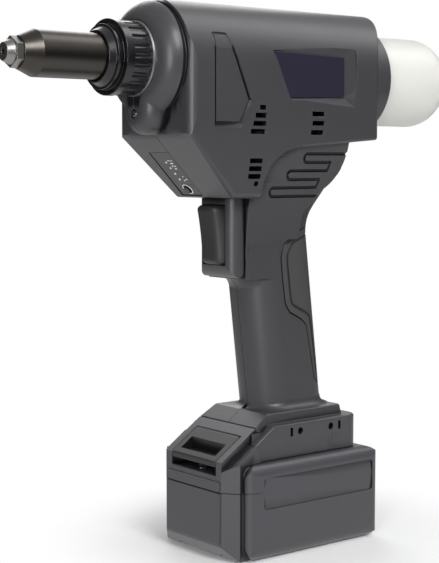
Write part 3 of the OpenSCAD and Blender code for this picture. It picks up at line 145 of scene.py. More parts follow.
# soft boxes round the tool, aimed at the middle of it
aimAt = (0, 0, 0.16)
softBoxes = {
    "top": {"place": (-0.66, 0.20, 1.10), "size": (0.5, 0.9), "power": 4.0},
    "left": {"place": (0.98, 0.72, 0.34), "size": (0.22, 0.7), "power": 7.0},
    "right": {"place": (0.22, 0.95, 0.95), "size": (0.5, 0.5), "power": 11.0},
    "back": {"place": (-0.5, -0.95, 0.8), "size": (0.8, 0.8), "power": 6.0},
}


def setLights():
    for name, box in softBoxes.items():
        data = bpy.data.lights.new(name + "SoftBox", "AREA")
        data.shape = "RECTANGLE"
        data.size, data.size_y = box["size"]
        data.energy = box["power"]
        lamp = bpy.data.objects.new(name + "SoftBox", data)
        lamp.location = box["place"]
        aim = Vector(aimAt) - Vector(box["place"])
        lamp.rotation_euler = aim.to_track_quat("-Z", "Y").to_euler()
        scene.collection.objects.link(lamp)


roomLook = {"colour": (0.93, 0.95, 1, 1), "strength": 0.12, "horizon": 0.04, "zenith": 0.5,
            "level": 0.0, "overhead": 0.75}


def setWorld():
    world = bpy.data.worlds.new("paleRoom")
    world.use_nodes = True
    tree = world.node_tree
    tree.nodes.clear()
    out = addNode(tree, "ShaderNodeOutputWorld")
    mix = addNode(tree, "ShaderNodeMixShader")
    room = addNode(tree, "ShaderNodeBackground")
    setSockets(room, {"Color": roomLook["colour"], "Strength": roomLook["strength"]})
    page = addNode(tree, "ShaderNodeBackground")
    page.inputs["Color"].default_value = (1, 1, 1, 1)
    camera, shine = seenRays(tree)
    where = addNode(tree, "ShaderNodeTexCoord")
    split = addNode(tree, "ShaderNodeSeparateXYZ")
    wire(tree, where.outputs["Generated"], split.inputs[0])
    height = rampBetween(tree, split.outputs["Z"], roomLook["level"], roomLook["overhead"],
                         roomLook["horizon"], roomLook["zenith"])
    wire(tree, mixValues(tree, camera, height, 1.0), page.inputs["Strength"])
    seen = addNode(tree, "ShaderNodeMath", operation="MAXIMUM")
    wire(tree, camera, seen.inputs[0])
    wire(tree, shine, seen.inputs[1])
    wire(tree, seen.outputs[0], mix.inputs[0])
    wire(tree, room.outputs[0], mix.inputs[1])
    wire(tree, page.outputs[0], mix.inputs[2])
    wire(tree, mix.outputs[0], out.inputs["Surface"])
    scene.world = world


setLights()
setWorld()
print("light set")


def newMaterial(name):
    mat = bpy.data.materials.new(name)
    mat.use_nodes = True
    return mat, mat.node_tree, mat.node_tree.nodes["Principled BSDF"]


def newGroup(name, ins, outs):
    group = bpy.data.node_groups.new(name, "ShaderNodeTree")
    for label, value in ins:
        socket = group.interface.new_socket(label, in_out="INPUT", socket_type="NodeSocketFloat")
        socket.default_value = value
    for label, kind in outs:
        group.interface.new_socket(label, in_out="OUTPUT", socket_type=kind)
    return group, group.nodes.new("NodeGroupInput"), group.nodes.new("NodeGroupOutput")


# moulded plastic: a spark-eroded grain, with slow patches of sheen and tone
grainLook = {"fineDetail": 3, "slowDetail": 4, "tone": 0.95}


def grainGroup():
    group, gin, gout = newGroup(
        "mouldGrain",
        [("Scale", 2600.0), ("Patch", 28.0), ("Spread", 0.1)],
        [("Height", "NodeSocketFloat"), ("Tone", "NodeSocketFloat"), ("Sheen", "NodeSocketFloat")],
    )
    where = addNode(group, "ShaderNodeTexCoord")
    fine = addNode(group, "ShaderNodeTexNoise")
    fine.inputs["Detail"].default_value = grainLook["fineDetail"]
    slow = addNode(group, "ShaderNodeTexNoise")
    slow.inputs["Detail"].default_value = grainLook["slowDetail"]
    wire(group, where.outputs["Object"], fine.inputs["Vector"])
    wire(group, where.outputs["Object"], slow.inputs["Vector"])
    wire(group, gin.outputs["Scale"], fine.inputs["Scale"])
    wire(group, gin.outputs["Patch"], slow.inputs["Scale"])
    wire(group, fine.outputs["Fac"], gout.inputs["Height"])
    tone = addNode(group, "ShaderNodeMath", operation="MULTIPLY_ADD")
    wire(group, slow.outputs["Fac"], tone.inputs[0])
    wire(group, gin.outputs["Spread"], tone.inputs[1])
    tone.inputs[2].default_value = grainLook["tone"]
    wire(group, tone.outputs[0], gout.inputs["Tone"])
    sheen = addNode(group, "ShaderNodeMath", operation="MULTIPLY_ADD")
    both = addNode(group, "ShaderNodeMath", operation="ADD")
    wire(group, slow.outputs["Fac"], both.inputs[0])
    wire(group, fine.outputs["Fac"], both.inputs[1])
    wire(group, both.outputs[0], sheen.inputs[0])
    wire(group, gin.outputs["Spread"], sheen.inputs[1])
    sheen.inputs[2].default_value = 0.0
    wire(group, sheen.outputs[0], gout.inputs["Sheen"])
    return group


# turned metal: fine rings round the nose axis
turnedLook = {"across": 18, "detail": 3, "tone": 0.9, "depth": 0.00002}


def turnedGroup():
    group, gin, gout = newGroup(
        "turnedRings",
        [("Rings", 2400.0), ("Spread", 0.2)],
        [("Height", "NodeSocketFloat"), ("Tone", "NodeSocketFloat")],
    )
    where = addNode(group, "ShaderNodeTexCoord")
    split = addNode(group, "ShaderNodeSeparateXYZ")
    join = addNode(group, "ShaderNodeCombineXYZ")
    wire(group, where.outputs["Object"], split.inputs[0])
    grow = addNode(group, "ShaderNodeMath", operation="MULTIPLY")
    wire(group, split.outputs["X"], grow.inputs[0])
    wire(group, gin.outputs["Rings"], grow.inputs[1])
    wire(group, grow.outputs[0], join.inputs["X"])
    for axis in ("Y", "Z"):
        slow = addNode(group, "ShaderNodeMath", operation="MULTIPLY")
        slow.inputs[1].default_value = turnedLook["across"]
        wire(group, split.outputs[axis], slow.inputs[0])
        wire(group, slow.outputs[0], join.inputs[axis])
    rings = addNode(group, "ShaderNodeTexNoise")
    rings.inputs["Scale"].default_value = 1
    rings.inputs["Detail"].default_value = turnedLook["detail"]
    wire(group, join.outputs[0], rings.inputs["Vector"])
    wire(group, rings.outputs["Fac"], gout.inputs["Height"])
    tone = addNode(group, "ShaderNodeMath", operation="MULTIPLY_ADD")
    wire(group, rings.outputs["Fac"], tone.inputs[0])
    wire(group, gin.outputs["Spread"], tone.inputs[1])
    tone.inputs[2].default_value = turnedLook["tone"]
    wire(group, tone.outputs[0], gout.inputs["Tone"])
    return group


grain = grainGroup()
turned = turnedGroup()
print("shared surface groups made")


def colourBy(tree, value, colour, target):
    mix = addNode(tree, "ShaderNodeVectorMath", operation="SCALE")
    mix.inputs[0].default_value = colour
    wire(tree, value, mix.inputs["Scale"])
    wire(tree, mix.outputs[0], target)


# painted shade in grooves: the closer the walls round a spot, the darker its colour is painted
paintedShadeRamp = {"open": 0.05, "closed": 0.29}


def paintedCreviceShade(tree, tone, depth):
    mark = addNode(tree, "ShaderNodeAttribute", attribute_name="closeness")
    shade = rampBetween(tree, mark.outputs["Fac"], paintedShadeRamp["open"], paintedShadeRamp["closed"], 1.0, 1 - depth)
    both = addNode(tree, "ShaderNodeMath", operation="MULTIPLY")
    wire(tree, tone, both.inputs[0])
    wire(tree, shade, both.inputs[1])
    return both.outputs[0]


# what a plastic has unless its own look says otherwise, and how dark the painted shade in the outer pieces'
# grooves goes
plasticBasics = {"paintedShade": 0.0, "specular": 0.5, "coat": 0.0, "depth": 0.0001}
grooveShade = 0.92


def plastic(name, ownLook):
    look = {**plasticBasics, **ownLook}
    mat, tree, bsdf = newMaterial(name)
    use = addNode(tree, "ShaderNodeGroup", node_tree=grain)
    setSockets(use, {"Scale": look["scale"], "Patch": look["patch"], "Spread": look["spread"]})
    tone = use.outputs["Tone"]
    # painted shade: the base colour is darkened where the closeness mark says a spot is closed in
    if look["paintedShade"]:
        tone = paintedCreviceShade(tree, tone, look["paintedShade"])
    colourBy(tree, tone, look["colour"], bsdf.inputs["Base Color"])
    rough = addNode(tree, "ShaderNodeMath", operation="ADD")
    rough.inputs[1].default_value = look["rough"]
    wire(tree, use.outputs["Sheen"], rough.inputs[0])
    wire(tree, rough.outputs[0], bsdf.inputs["Roughness"])
    bump = addNode(tree, "ShaderNodeBump")
    setSockets(bump, {"Strength": look["bump"], "Distance": look["depth"]})
    wire(tree, use.outputs["Height"], bump.inputs["Height"])
    wire(tree, bump.outputs[0], bsdf.inputs["Normal"])
    setSockets(bsdf, {"Specular IOR Level": look["specular"], "Coat Weight": look["coat"]})
    return mat


def metal(name, look):
    mat, tree, bsdf = newMaterial(name)
    use = addNode(tree, "ShaderNodeGroup", node_tree=turned)
    setSockets(use, {"Rings": look["rings"], "Spread": look["spread"]})
    setSockets(bsdf, {"Metallic": 1.0})
    colourBy(tree, use.outputs["Tone"], look["colour"], bsdf.inputs["Base Color"])
    rough = addNode(tree, "ShaderNodeMath", operation="MULTIPLY")
    rough.inputs[1].default_value = look["rough"]
    wire(tree, use.outputs["Tone"], rough.inputs[0])
    wire(tree, rough.outputs[0], bsdf.inputs["Roughness"])
    bump = addNode(tree, "ShaderNodeBump")
    setSockets(bump, {"Strength": look["bump"], "Distance": turnedLook["depth"]})
    wire(tree, use.outputs["Height"], bump.inputs["Height"])
    wire(tree, bump.outputs[0], bsdf.inputs["Normal"])
    return mat


finishes = {
    "shell": plastic("charcoalShell", {
        "colour": (0.042, 0.0412, 0.0455), "rough": 0.29, "scale": 2600, "patch": 24, "spread": 0.10,
        "bump": 0.3, "paintedShade": grooveShade}),
    "packShell": plastic("charcoalPack", {
        "colour": (0.053, 0.052, 0.059), "rough": 0.29, "scale": 2300, "patch": 20, "spread": 0.10,
        "bump": 0.3, "paintedShade": grooveShade}),
    "panelSkin": plastic("panelSkin", {
        "colour": (0.036, 0.036, 0.038), "rough": 0.34, "scale": 3200, "patch": 40, "spread": 0.06,
        "bump": 0.15, "depth": 0.00006, "paintedShade": grooveShade}),
    "softPad": plastic("softPad", {
        "colour": (0.046, 0.0455, 0.047), "rough": 0.50, "scale": 1700, "patch": 30, "spread": 0.14,
        "bump": 0.3, "depth": 0.00015, "specular": 0.35, "paintedShade": grooveShade}),
    "darkPlastic": plastic("darkPlastic", {
        "colour": (0.022, 0.022, 0.024), "rough": 0.36, "scale": 2600, "patch": 40, "spread": 0.10,
        "bump": 0.25, "paintedShade": grooveShade}),
    "innerPlastic": plastic("innerPlastic", {
        "colour": (0.016, 0.016, 0.017), "rough": 0.5, "scale": 1500, "patch": 40, "spread": 0.12,
        "bump": 0.2}),
    "glossBlack": plastic("glossBlackRing", {
        "colour": (0.006, 0.006, 0.008), "rough": 0.2, "scale": 900, "patch": 60, "spread": 0.06,
        "bump": 0.05, "depth": 0.00004, "coat": 0.15, "paintedShade": grooveShade}),
    "indigoPlate": plastic("indigoPlate", {
        "colour": (0.019, 0.017, 0.032), "rough": 0.3, "scale": 3000, "patch": 40, "spread": 0.08,
        "bump": 0.1, "depth": 0.00004, "specular": 0.25, "paintedShade": grooveShade}),
    "laminate": plastic("greenLaminate", {
        "colour": (0.03, 0.12, 0.05), "rough": 0.4, "scale": 1200, "patch": 90, "spread": 0.2, "bump": 0.2}),
    "leadSkin": plastic("leadSkin", {
        "colour": (0.30, 0.02, 0.015), "rough": 0.4, "scale": 800, "patch": 60, "spread": 0.1, "bump": 0.1}),
    "cellSleeve": plastic("cellSleeve", {
        "colour": (0.05, 0.22, 0.11), "rough": 0.25, "scale": 500, "patch": 60, "spread": 0.1, "bump": 0.05}),
    "whiteGuide": plastic("whiteGuide", {
        "colour": (0.75, 0.75, 0.73), "rough": 0.3, "scale": 2000, "patch": 80, "spread": 0.05,
        "bump": 0.05, "depth": 0.00005}),
    "gunmetal": metal("gunmetal", {
        "colour": (0.075, 0.069, 0.063), "rough": 0.34, "rings": 2600, "spread": 0.2, "bump": 0.25}),
    "satinSteel": metal("satinSteel", {
        "colour": (0.30, 0.29, 0.28), "rough": 0.36, "rings": 2600, "spread": 0.2, "bump": 0.3}),
    "polishedRim": metal("polishedRim", {
        "colour": (0.92, 0.92, 0.91), "rough": 0.42, "rings": 3000, "spread": 0.08, "bump": 0.1}),
    "brightSteel": metal("brightSteel", {
        "colour": (0.62, 0.62, 0.61), "rough": 0.22, "rings": 3000, "spread": 0.15, "bump": 0.2}),
    "groundSteel": metal("groundSteel", {
        "colour": (0.42, 0.42, 0.41), "rough": 0.32, "rings": 1800, "spread": 0.2, "bump": 0.3}),
    "castAlloy": metal("castAlloy", {
        "colour": (0.52, 0.53, 0.54), "rough": 0.45, "rings": 400, "spread": 0.2, "bump": 0.3}),
    "bronze": metal("bronze", {
        "colour": (0.58, 0.42, 0.18), "rough": 0.3, "rings": 1500, "spread": 0.2, "bump": 0.2}),
    "copper": metal("copperWinding", {
        "colour": (0.55, 0.25, 0.11), "rough": 0.35, "rings": 900, "spread": 0.4, "bump": 0.6}),
}


cupLook = {"colour": (0.72, 0.72, 0.67), "rough": 0.34, "scale": 900, "patch": 22, "spread": 0.06,
           "glow": 0.6, "glowTint": (1.0, 1.0, 0.9), "glowReach": 0.006}


def milkyCup():
    mat, tree, bsdf = newMaterial("milkyCup")
    use = addNode(tree, "ShaderNodeGroup", node_tree=grain)
    setSockets(use, {"Scale": cupLook["scale"], "Patch": cupLook["patch"], "Spread": cupLook["spread"]})
    colourBy(tree, use.outputs["Tone"], cupLook["colour"], bsdf.inputs["Base Color"])
    rough = addNode(tree, "ShaderNodeMath", operation="ADD")
    rough.inputs[1].default_value = cupLook["rough"]
    wire(tree, use.outputs["Sheen"], rough.inputs[0])
    wire(tree, rough.outputs[0], bsdf.inputs["Roughness"])
    setSockets(bsdf, {"Subsurface Weight": cupLook["glow"], "Subsurface Radius": cupLook["glowTint"],
               "Subsurface Scale": cupLook["glowReach"]})
    return mat


lensLook = {"colour": (0.020, 0.021, 0.023), "rough": 0.08, "scale": 1200, "spread": 0.05, "coat": 0.8}


def clearLens():
    mat, tree, bsdf = newMaterial("clearLens")
    use = addNode(tree, "ShaderNodeGroup", node_tree=grain)
    setSockets(use, {"Scale": lensLook["scale"], "Spread": lensLook["spread"]})
    colourBy(tree, use.outputs["Tone"], lensLook["colour"], bsdf.inputs["Base Color"])
    setSockets(bsdf, {"Roughness": lensLook["rough"], "Coat Weight": lensLook["coat"]})
    return mat


finishes["milky"] = milkyCup()
finishes["lens"] = clearLens()
print("finishes made:", len(finishes))

# the finish that each node wears
nodeFinishes = {
    "shell": ["left_housing", "right_housing", "trigger_bezel"],
    "softPad": ["grip_pad"],
    "indigoPlate": ["badge_plate"],
    "panelSkin": ["control_panel"],
    "whiteGuide": ["indicator_lamps"],
    "darkPlastic": ["mode_button", "trigger", "battery_latch"],
    "laminate": ["control_board", "battery_board"],
    "lens": ["work_light"],
    "gunmetal": ["nose_sleeve"],
    "satinSteel": ["nosepiece"],
    "polishedRim": ["lock_washer"],
    "glossBlack": ["lock_ring"],
    "brightSteel": [
        "jaw_spring", "nut_bearing", "thrust_bearing", "motor_bearings", "trigger_spring",
        "latch_spring"],
    "castAlloy": ["drive_frame"],
    "groundSteel": [
        "pull_spindle", "jaw_case", "jaw_1", "jaw_2", "jaw_3", "jaw_pusher", "ball_nut", "nut_gear",
        "counter_shaft", "counter_gear", "motor_can", "rotor", "motor_pinion", "housing_screws",
        "battery_screws"],
    "bronze": ["rear_bush", "counter_bushes", "contact_blades", "battery_contacts"],
    "copper": ["stator"],
    "innerPlastic": [
        "cooling_fan", "trigger_switch", "collector_socket", "collector_seal", "tool_terminals",
        "cell_holder"],
    "leadSkin": ["power_leads"],
    "milky": ["mandrel_collector"],
    "packShell": ["battery_lower_case", "battery_upper_case"],
    "cellSleeve": ["battery_cells"],
}
for finishName, wearers in nodeFinishes.items():
    for nodeName in wearers:
        nodes[nodeName].data.materials.clear()
        nodes[nodeName].data.materials.append(finishes[finishName])
print("nodes dressed")

mm = 0.001

# broad rounds go first: each has its size in millimetres and the boxes that hold its edges, as lowest and
# highest x, |y|, z
slopeSide = ((46.4, 25.4, 197.9), (79.7, 31.5, 231.2))
slopeBottom = ((46.4, 0, 197.9), (46.6, 25.6, 198.1))
bodyBottomSide = ((26.9, 25.4, 197.9), (46.6, 25.6, 198.1))
footRounds = [
    {"round": 1.2, "boxes": [
        ((-35.1, 30.9, 71.9), (21.6, 31.1, 72.1)), ((21.4, 30.9, 62.5), (35.6, 31.1, 72.1)),
        ((-44.1, 0.1, 71.9), (-34.9, 31.1, 72.1)), ((-44.1, 0, 71.9), (-43.9, 22.1, 72.1)),
        ((21.4, 24.6, 71.9), (21.6, 31.1, 72.1))]},
    {"round": 0.8, "boxes": [((-35.1, 22.9, 77.4), (20.6, 23.1, 77.6))]},
    {"round": 1.5, "boxes": [
        ((-55.6, 30.4, 225.9), (2.1, 31.4, 230.5)), ((-69.1, 0, 230.3), (-55.4, 31.4, 231.5))]},
]
leftRounds = [
    {"round": 3.0, "boxes": [slopeSide, bodyBottomSide]},
    {"round": 1.0, "boxes": [slopeBottom]},
] + footRounds
rightRounds = [{"round": 1.0, "boxes": [slopeSide, slopeBottom, bodyBottomSide]}] + footRounds
lowerRounds = [
    {"round": 1.2, "boxes": [((54.7, 0, 7.9), (54.9, 25.1, 8.1))]},
    {"round": 2.0, "boxes": [((47.7, 0, -0.1), (47.9, 32.1, 0.1))]},
]
# pieces whose edges are broken: the round in millimetres, the steps in it and the slot of the record
# a merged piece has its flat faces joined first
brokenEdgeLooks = {
    "left_housing": {"round": 0.35, "steps": 2, "slot": "shell", "banded": True, "merged": True,
                     "broad": leftRounds},
    "right_housing": {"round": 0.35, "steps": 2, "slot": "shell", "banded": True, "merged": True,
                      "broad": rightRounds},
    "battery_upper_case": {"round": 0.5, "steps": 2, "slot": "pack_shell", "merged": True},
    "battery_lower_case": {"round": 0.5, "steps": 2, "slot": "pack_shell", "merged": True,
                           "broad": lowerRounds},
    "battery_latch": {"round": 0.7, "steps": 3, "slot": "trigger_plastic"},
    "trigger_bezel": {"round": 0.5, "steps": 2, "slot": "trigger_plastic"},
    "grip_pad": {"round": 0.45, "steps": 2, "slot": "pad"},
    "lock_ring": {"round": 0.3, "steps": 2, "slot": "ring"},
    "nose_sleeve": {"round": 0.3, "steps": 2, "slot": "dark_steel"},
    "nosepiece": {"round": 0.25, "steps": 2, "slot": "dark_steel"},
    "control_panel": {"round": 0.2, "steps": 2, "slot": "panel"},
    "badge_plate": {"round": 0.25, "steps": 2, "slot": "badge"},
}
edgeRule = {"turn": 28, "shortest": 0.15, "tries": 12, "reach": 2.5, "broadTurn": 20, "broadSteps": 5,
            "probe": 0.0006, "weld": 4e-6, "sliver": 2e-6, "flat": 0.2, "widen": 4}
foldRule = {"off": 0.75, "leastArea": 1e-10, "turned": 0.15, "sameSpot": 1e-5}


def meshTree(mesh):
    return BVHTree.FromPolygons([v.co for v in mesh.vertices], [list(f.vertices) for f in mesh.polygons])


def edgesToBreak(source, width):
    sharp = {e.index: e for e in source.edges
             if len(e.link_faces) == 2 and e.calc_face_angle(0) > math.radians(edgeRule["turn"])}
    picked = set()
    for index, edge in sharp.items():
        meets = [[x for x in v.link_edges if x.index in sharp] for v in edge.verts]
        if all(len(m) < 4 and min(x.calc_length() for x in m) > width * edgeRule["shortest"] for m in meets):
            picked.add(index)
    return picked


def edgeSpots(source, picked):
    spots = []
    for index in picked:
        first, last = (v.co for v in source.edges[index].verts)
        count = max(2, int((last - first).length / edgeRule["probe"]) + 1)
        spots += [(first.lerp(last, k / (count - 1)), index) for k in range(count)]
    tree = KDTree(len(spots))
    for k, (spot, index) in enumerate(spots):
        tree.insert(spot, k)
    tree.balance()
    return tree, [index for spot, index in spots]


# where the round has folded a face over or thrown a point off the surface
def foldedSpots(bm, skin, width, before=()):
    spots = [v.co.copy() for v in bm.verts if skin.find_nearest(v.co)[3] > width * foldRule["off"]]
    trial = bm.copy()
    bmesh.ops.triangulate(trial, faces=trial.faces)
    trial.normal_update()
    for face in trial.faces:
        if face.calc_area() < foldRule["leastArea"]:
            continue
        middle = face.calc_center_median()
        if skin.find_nearest(middle)[1].dot(face.normal) < foldRule["turned"]:
            if not any((middle - spot).length < foldRule["sameSpot"] for spot in before):
                spots += [middle] + [v.co.copy() for v in face.verts]
    trial.free()
    return spots


# the CAD surface's own normal at a point, from the corners of the nearest triangle
def surfaceNormal(cad, tree, spot):
    near, flat, index, far = tree.find_nearest(spot)
    face = cad.polygons[index]
    corners = [cad.vertices[i].co for i in face.vertices]
    weights = poly_3d_calc(corners, near)
    total = Vector((0, 0, 0))
    for loop, weight in zip(face.loop_indices, weights):
        total += cad.corner_normals[loop].vector * weight
    return (total.normalized() if total.length > 0.1 else flat), flat, far


# the side leans in below a line: the turn is spread over a band, as a moulded side has it
sideBand = {"line": 0.240, "reach": 0.013, "lean": 10.1, "depth": 0.024, "facing": 0.97, "sideways": 0.06,
            "top": 0.27, "clear": 0.00001, "cuts": (-1, -0.66, -0.33, 0, 0.33, 0.66, 1)}


def onSide(face):
    return abs(face.normal.y) > sideBand["facing"] and abs(face.normal.x) < sideBand["sideways"]


def cutFaces(bm, faces, place, normal):
    geom = list({v for f in faces for v in f.verts}) + list({e for f in faces for e in f.edges}) + faces
    bmesh.ops.bisect_plane(bm, geom=geom, dist=1e-7, plane_co=place, plane_no=normal)


def cutSideBand(bm):
    for step in sideBand["cuts"]:
        faces = [f for f in bm.faces if onSide(f) and abs(f.calc_center_median().y) > sideBand["depth"]]
        level = sideBand["line"] + step * sideBand["reach"] + sideBand["clear"]
        cutFaces(bm, faces, (0, 0, level), (0, 0, 1))


def sideNormal(spot):
    part = min(1, max(0, (sideBand["line"] + sideBand["reach"] - spot.z) / (2 * sideBand["reach"])))
    lean = math.radians(sideBand["lean"]) * part * part * (3 - 2 * part)
    return Vector((0, math.copysign(math.cos(lean), spot.y), -math.sin(lean)))


# the front turns down into the control face over a soft band that fades out towards its ends
chinBand = {"corner": Vector((0.081, 0, 0.2325)), "turn": 45, "reach": 0.0045, "end": 0.0278, "fade": 0.006,
            "cuts": 4, "alike": 0.999, "near": 0.0002, "part": 0.03}
frontOut = Vector((1, 0, 0))
slopeOut = Vector((math.sqrt(0.5), 0, -math.sqrt(0.5)))
slopeUp = Vector((math.sqrt(0.5), 0, math.sqrt(0.5)))


# how far a point of the front or the control face is from their corner: the front counts up, the control
# face down
def chinReach(normal, spot):
    away = spot - chinBand["corner"]
    if normal.dot(frontOut) > chinBand["alike"] and abs(away.x) < chinBand["near"]:
        return away.z
    if normal.dot(slopeOut) > chinBand["alike"] and abs(away.dot(slopeOut)) < chinBand["near"]:
        return away.dot(slopeUp)
    return None


def cutChinBand(bm):
    half = chinBand["end"] - chinBand["fade"]
    planes = [((0, side * half, 0), (0, 1, 0)) for side in (-1, 1)]
    for k in range(1, chinBand["cuts"] + 1):
        step = chinBand["reach"] * k / chinBand["cuts"]
        planes.append((chinBand["corner"] + Vector((0, 0, step)), (0, 0, 1)))
        planes.append((chinBand["corner"] - slopeUp * step, slopeUp))
    for place, normal in planes:
        faces = []
        for face in bm.faces:
            far = chinReach(face.normal, face.calc_center_median())
            if far is not None and abs(far) < chinBand["part"]:
                faces.append(face)
        cutFaces(bm, faces, place, normal)


def chinNormal(normal, spot):
    far = chinReach(normal, spot)
    if far is None or abs(far) > chinBand["reach"]:
        return None
    part = 0.5 - far / (2 * chinBand["reach"])
    ease = min(1, max(0, (chinBand["end"] - abs(spot.y)) / chinBand["fade"]))
    own = 0 if far > 0 else 1
    turn = math.radians(chinBand["turn"]) * (own + (part - own) * ease)
    return Vector((math.cos(turn), 0, -math.sin(turn)))


# flat and curved faces keep the CAD normals, and the small rounds run from one to the other
normalRule = {"onSurface": 3e-6, "sameWay": 0.985, "inward": 0.08, "agree": 0.5, "roundAgree": 0.6}


def blendNormals(mesh, cad, banded):
    tree = meshTree(cad)
    normals = [None] * len(mesh.loops)
    known = {}
    rounds = []
    for face in mesh.polygons:
        middle = face.center
        near, flat, index, far = tree.find_nearest(middle)
        if far > normalRule["onSurface"] or flat.dot(face.normal) < normalRule["sameWay"]:
            rounds.append(face)
            continue
        for loop in face.loop_indices:
            vertex = mesh.loops[loop].vertex_index
            inside = mesh.vertices[vertex].co.lerp(middle, normalRule["inward"])
            normal, flat, far = surfaceNormal(cad, tree, inside)
            normals[loop] = normal if normal.dot(face.normal) > normalRule["agree"] else face.normal.copy()
            spot = mesh.vertices[vertex].co
            if banded and onSide(face) and abs(middle.y) > sideBand["depth"] and spot.z < sideBand["top"]:
                normals[loop] = sideNormal(spot)
            if banded:
                normals[loop] = chinNormal(face.normal, spot) or normals[loop]
            known.setdefault(vertex, []).append(normals[loop])
    shared = {}
    for face in rounds:
        for vertex in face.vertices:
            shared[vertex] = shared.get(vertex, Vector((0, 0, 0))) + face.normal * face.area
    for face in rounds:
        for loop in face.loop_indices:
            if banded and onBadgeFrame(face):
                normals[loop] = face.normal.copy()
                continue
            vertex = mesh.loops[loop].vertex_index
            near = [n for n in known.get(vertex, ()) if n.dot(face.normal) > normalRule["roundAgree"]]
            normals[loop] = max(near, key=face.normal.dot) if near else shared[vertex].normalized()
    mesh.normals_split_custom_set(normals)


# how far a crevice is looked for, and the rings of rays that look
creviceRule = {"reach": 0.0028, "near": 0.003, "inward": 0.12, "lift": 0.00002,
               "fan": ((0.35, 5), (0.75, 8))}


# the other nodes on the same body, which close a gap with this one
def nearNeighbours(name):
    body = body_of(nodes[name])
    low, high = (Vector(c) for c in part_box(name))
    points, faces = [], []
    for other, obj in nodes.items():
        if other == name or body_of(obj) != body:
            continue
        first, last = (Vector(c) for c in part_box(other))
        near = creviceRule["near"]
        if any(first[i] > high[i] + near or last[i] < low[i] - near for i in range(3)):
            continue
        start = len(points)
        points += [v.co for v in obj.data.vertices]
        faces += [[start + i for i in f.vertices] for f in obj.data.polygons]
    return BVHTree.FromPolygons(points, faces) if faces else None


# how closed in each face corner is, from a fixed fan of short rays: this sets the painted shade in grooves
# and gaps between parts
def markCrevices(mesh, others):
    tree = meshTree(mesh)
    layer = mesh.color_attributes.new("closeness", "FLOAT_COLOR", "CORNER")
    fan = []
    for ring, count in creviceRule["fan"]:
        for k in range(count):
            turn = 2 * math.pi * (k + ring) / count
            fan.append((ring * math.cos(turn), ring * math.sin(turn), math.sqrt(1 - ring * ring)))
    for face in mesh.polygons:
        across = face.normal.orthogonal().normalized()
        beside = face.normal.cross(across)
        for loop in face.loop_indices:
            corner = mesh.vertices[mesh.loops[loop].vertex_index].co
            spot = corner.lerp(face.center, creviceRule["inward"]) + face.normal * creviceRule["lift"]
            free = 0
            for x, y, z in fan:
                ray = across * x + beside * y + face.normal * z
                if tree.ray_cast(spot, ray, creviceRule["reach"])[0] is None:
                    free += others is None or others.ray_cast(spot, ray, creviceRule["reach"])[0] is None
            value = 0 if onBadgeFrame(face) else 1 - free / len(fan)
            layer.data[loop].color = (value, value, value, 1)


# the lines let into the soft pad and round the side panel, as x and z in millimetres
padLine = {"path": [(-36, 181.5), (-24, 178.5), (-6, 173.4), (-1.6, 169.5), (0.6, 164), (-0.5, 152.5),
                    (-2.5, 139.5), (-4.5, 136.5), (-13, 132.2), (-17.5, 128.5), (-20.5, 116), (-21.5, 110),
                    (-24.5, 97), (-27.5, 91)],
           "radius": 0.0008, "step": 0.9, "sides": 8, "castFrom": 0.04}
panelLine = {"path": [(64.6, 285), (55.7, 285), (41.4, 250.8), (48, 238.6), (64.6, 238.6)],
             "radius": 0.0008, "step": 0.9, "sides": 8}
# the bevel beside the panel and the bevelled frame round the badge, from their low edge to their high one
panelBevel = {"inner": [(41.2, 251.4), (47.8, 238.4), (65.2, 238.4)],
              "outer": [(38.8, 250.2), (46.8, 235.8), (65.2, 235.8)], "depth": 1.3, "over": 1.2}
badgeFrame = {"inner": [(24, 277.4), (-28, 276.2), (-28.2, 254), (12.8, 252.8)],
              "outer": [(24.6, 277.9), (-35.2, 281.4), (-35.6, 248.4), (11, 251.4)],
              "floor": 31.3, "over": 1.3, "low": (-0.037, 0.030, 0.247), "high": (0.026, 0.034, 0.283)}
sideForm = {"half": 33, "crown": 271, "lean": 10.1, "leanFrom": 240, "outside": 0.036}


# points along a smooth curve through the path
def smoothPath(path, step):
    ends = [path[0]] + list(path) + [path[-1]]
    spots = []
    for k in range(len(path) - 1):
        a, b, c, d = (Vector(q) for q in ends[k:k + 4])
        count = max(2, int((c - b).length / step))
        for j in range(count):
            t = j / count
            spots.append(0.5 * (2 * b + (c - a) * t + (2 * a - 5 * b + 4 * c - d) * t * t
                                + (3 * b - a - 3 * c + d) * t ** 3))
    return spots + [Vector(path[-1])]


def joinRings(bm, rings):
    count = len(rings[0])
    for low, high in zip(rings, rings[1:]):
        for k in range(count):
            bm.faces.new((low[k], low[(k + 1) % count], high[(k + 1) % count], high[k]))


def closeRings(bm, rings):
    joinRings(bm, rings)
    bm.faces.new(list(reversed(rings[0])))
    bm.faces.new(rings[-1])


def cutterMesh(bm):
    bmesh.ops.recalc_face_normals(bm, faces=bm.faces)
    mesh = bpy.data.meshes.new("cutter")
    bm.to_mesh(mesh)
    bm.free()
    return mesh


def lineTube(spots, line, closed):
    bm = bmesh.new()
    rings = []
    count, sides = len(spots), line["sides"]
    for k, spot in enumerate(spots):
        ahead = spots[(k + 1) % count] if closed else spots[min(k + 1, count - 1)]
        behind = spots[k - 1] if closed else spots[max(k - 1, 0)]
        along = (ahead - behind).normalized()
        up = Vector((0, 1, 0)).cross(along).normalized()
        out = along.cross(up)
        turns = [2 * math.pi * (j + 0.5) / sides for j in range(sides)]
        around = [up * math.cos(t) + out * math.sin(t) for t in turns]
        rings.append([bm.verts.new(spot + way * line["radius"]) for way in around])
    if closed:
        joinRings(bm, rings + rings[:1])
    else:
        closeRings(bm, rings)
    return cutterMesh(bm)


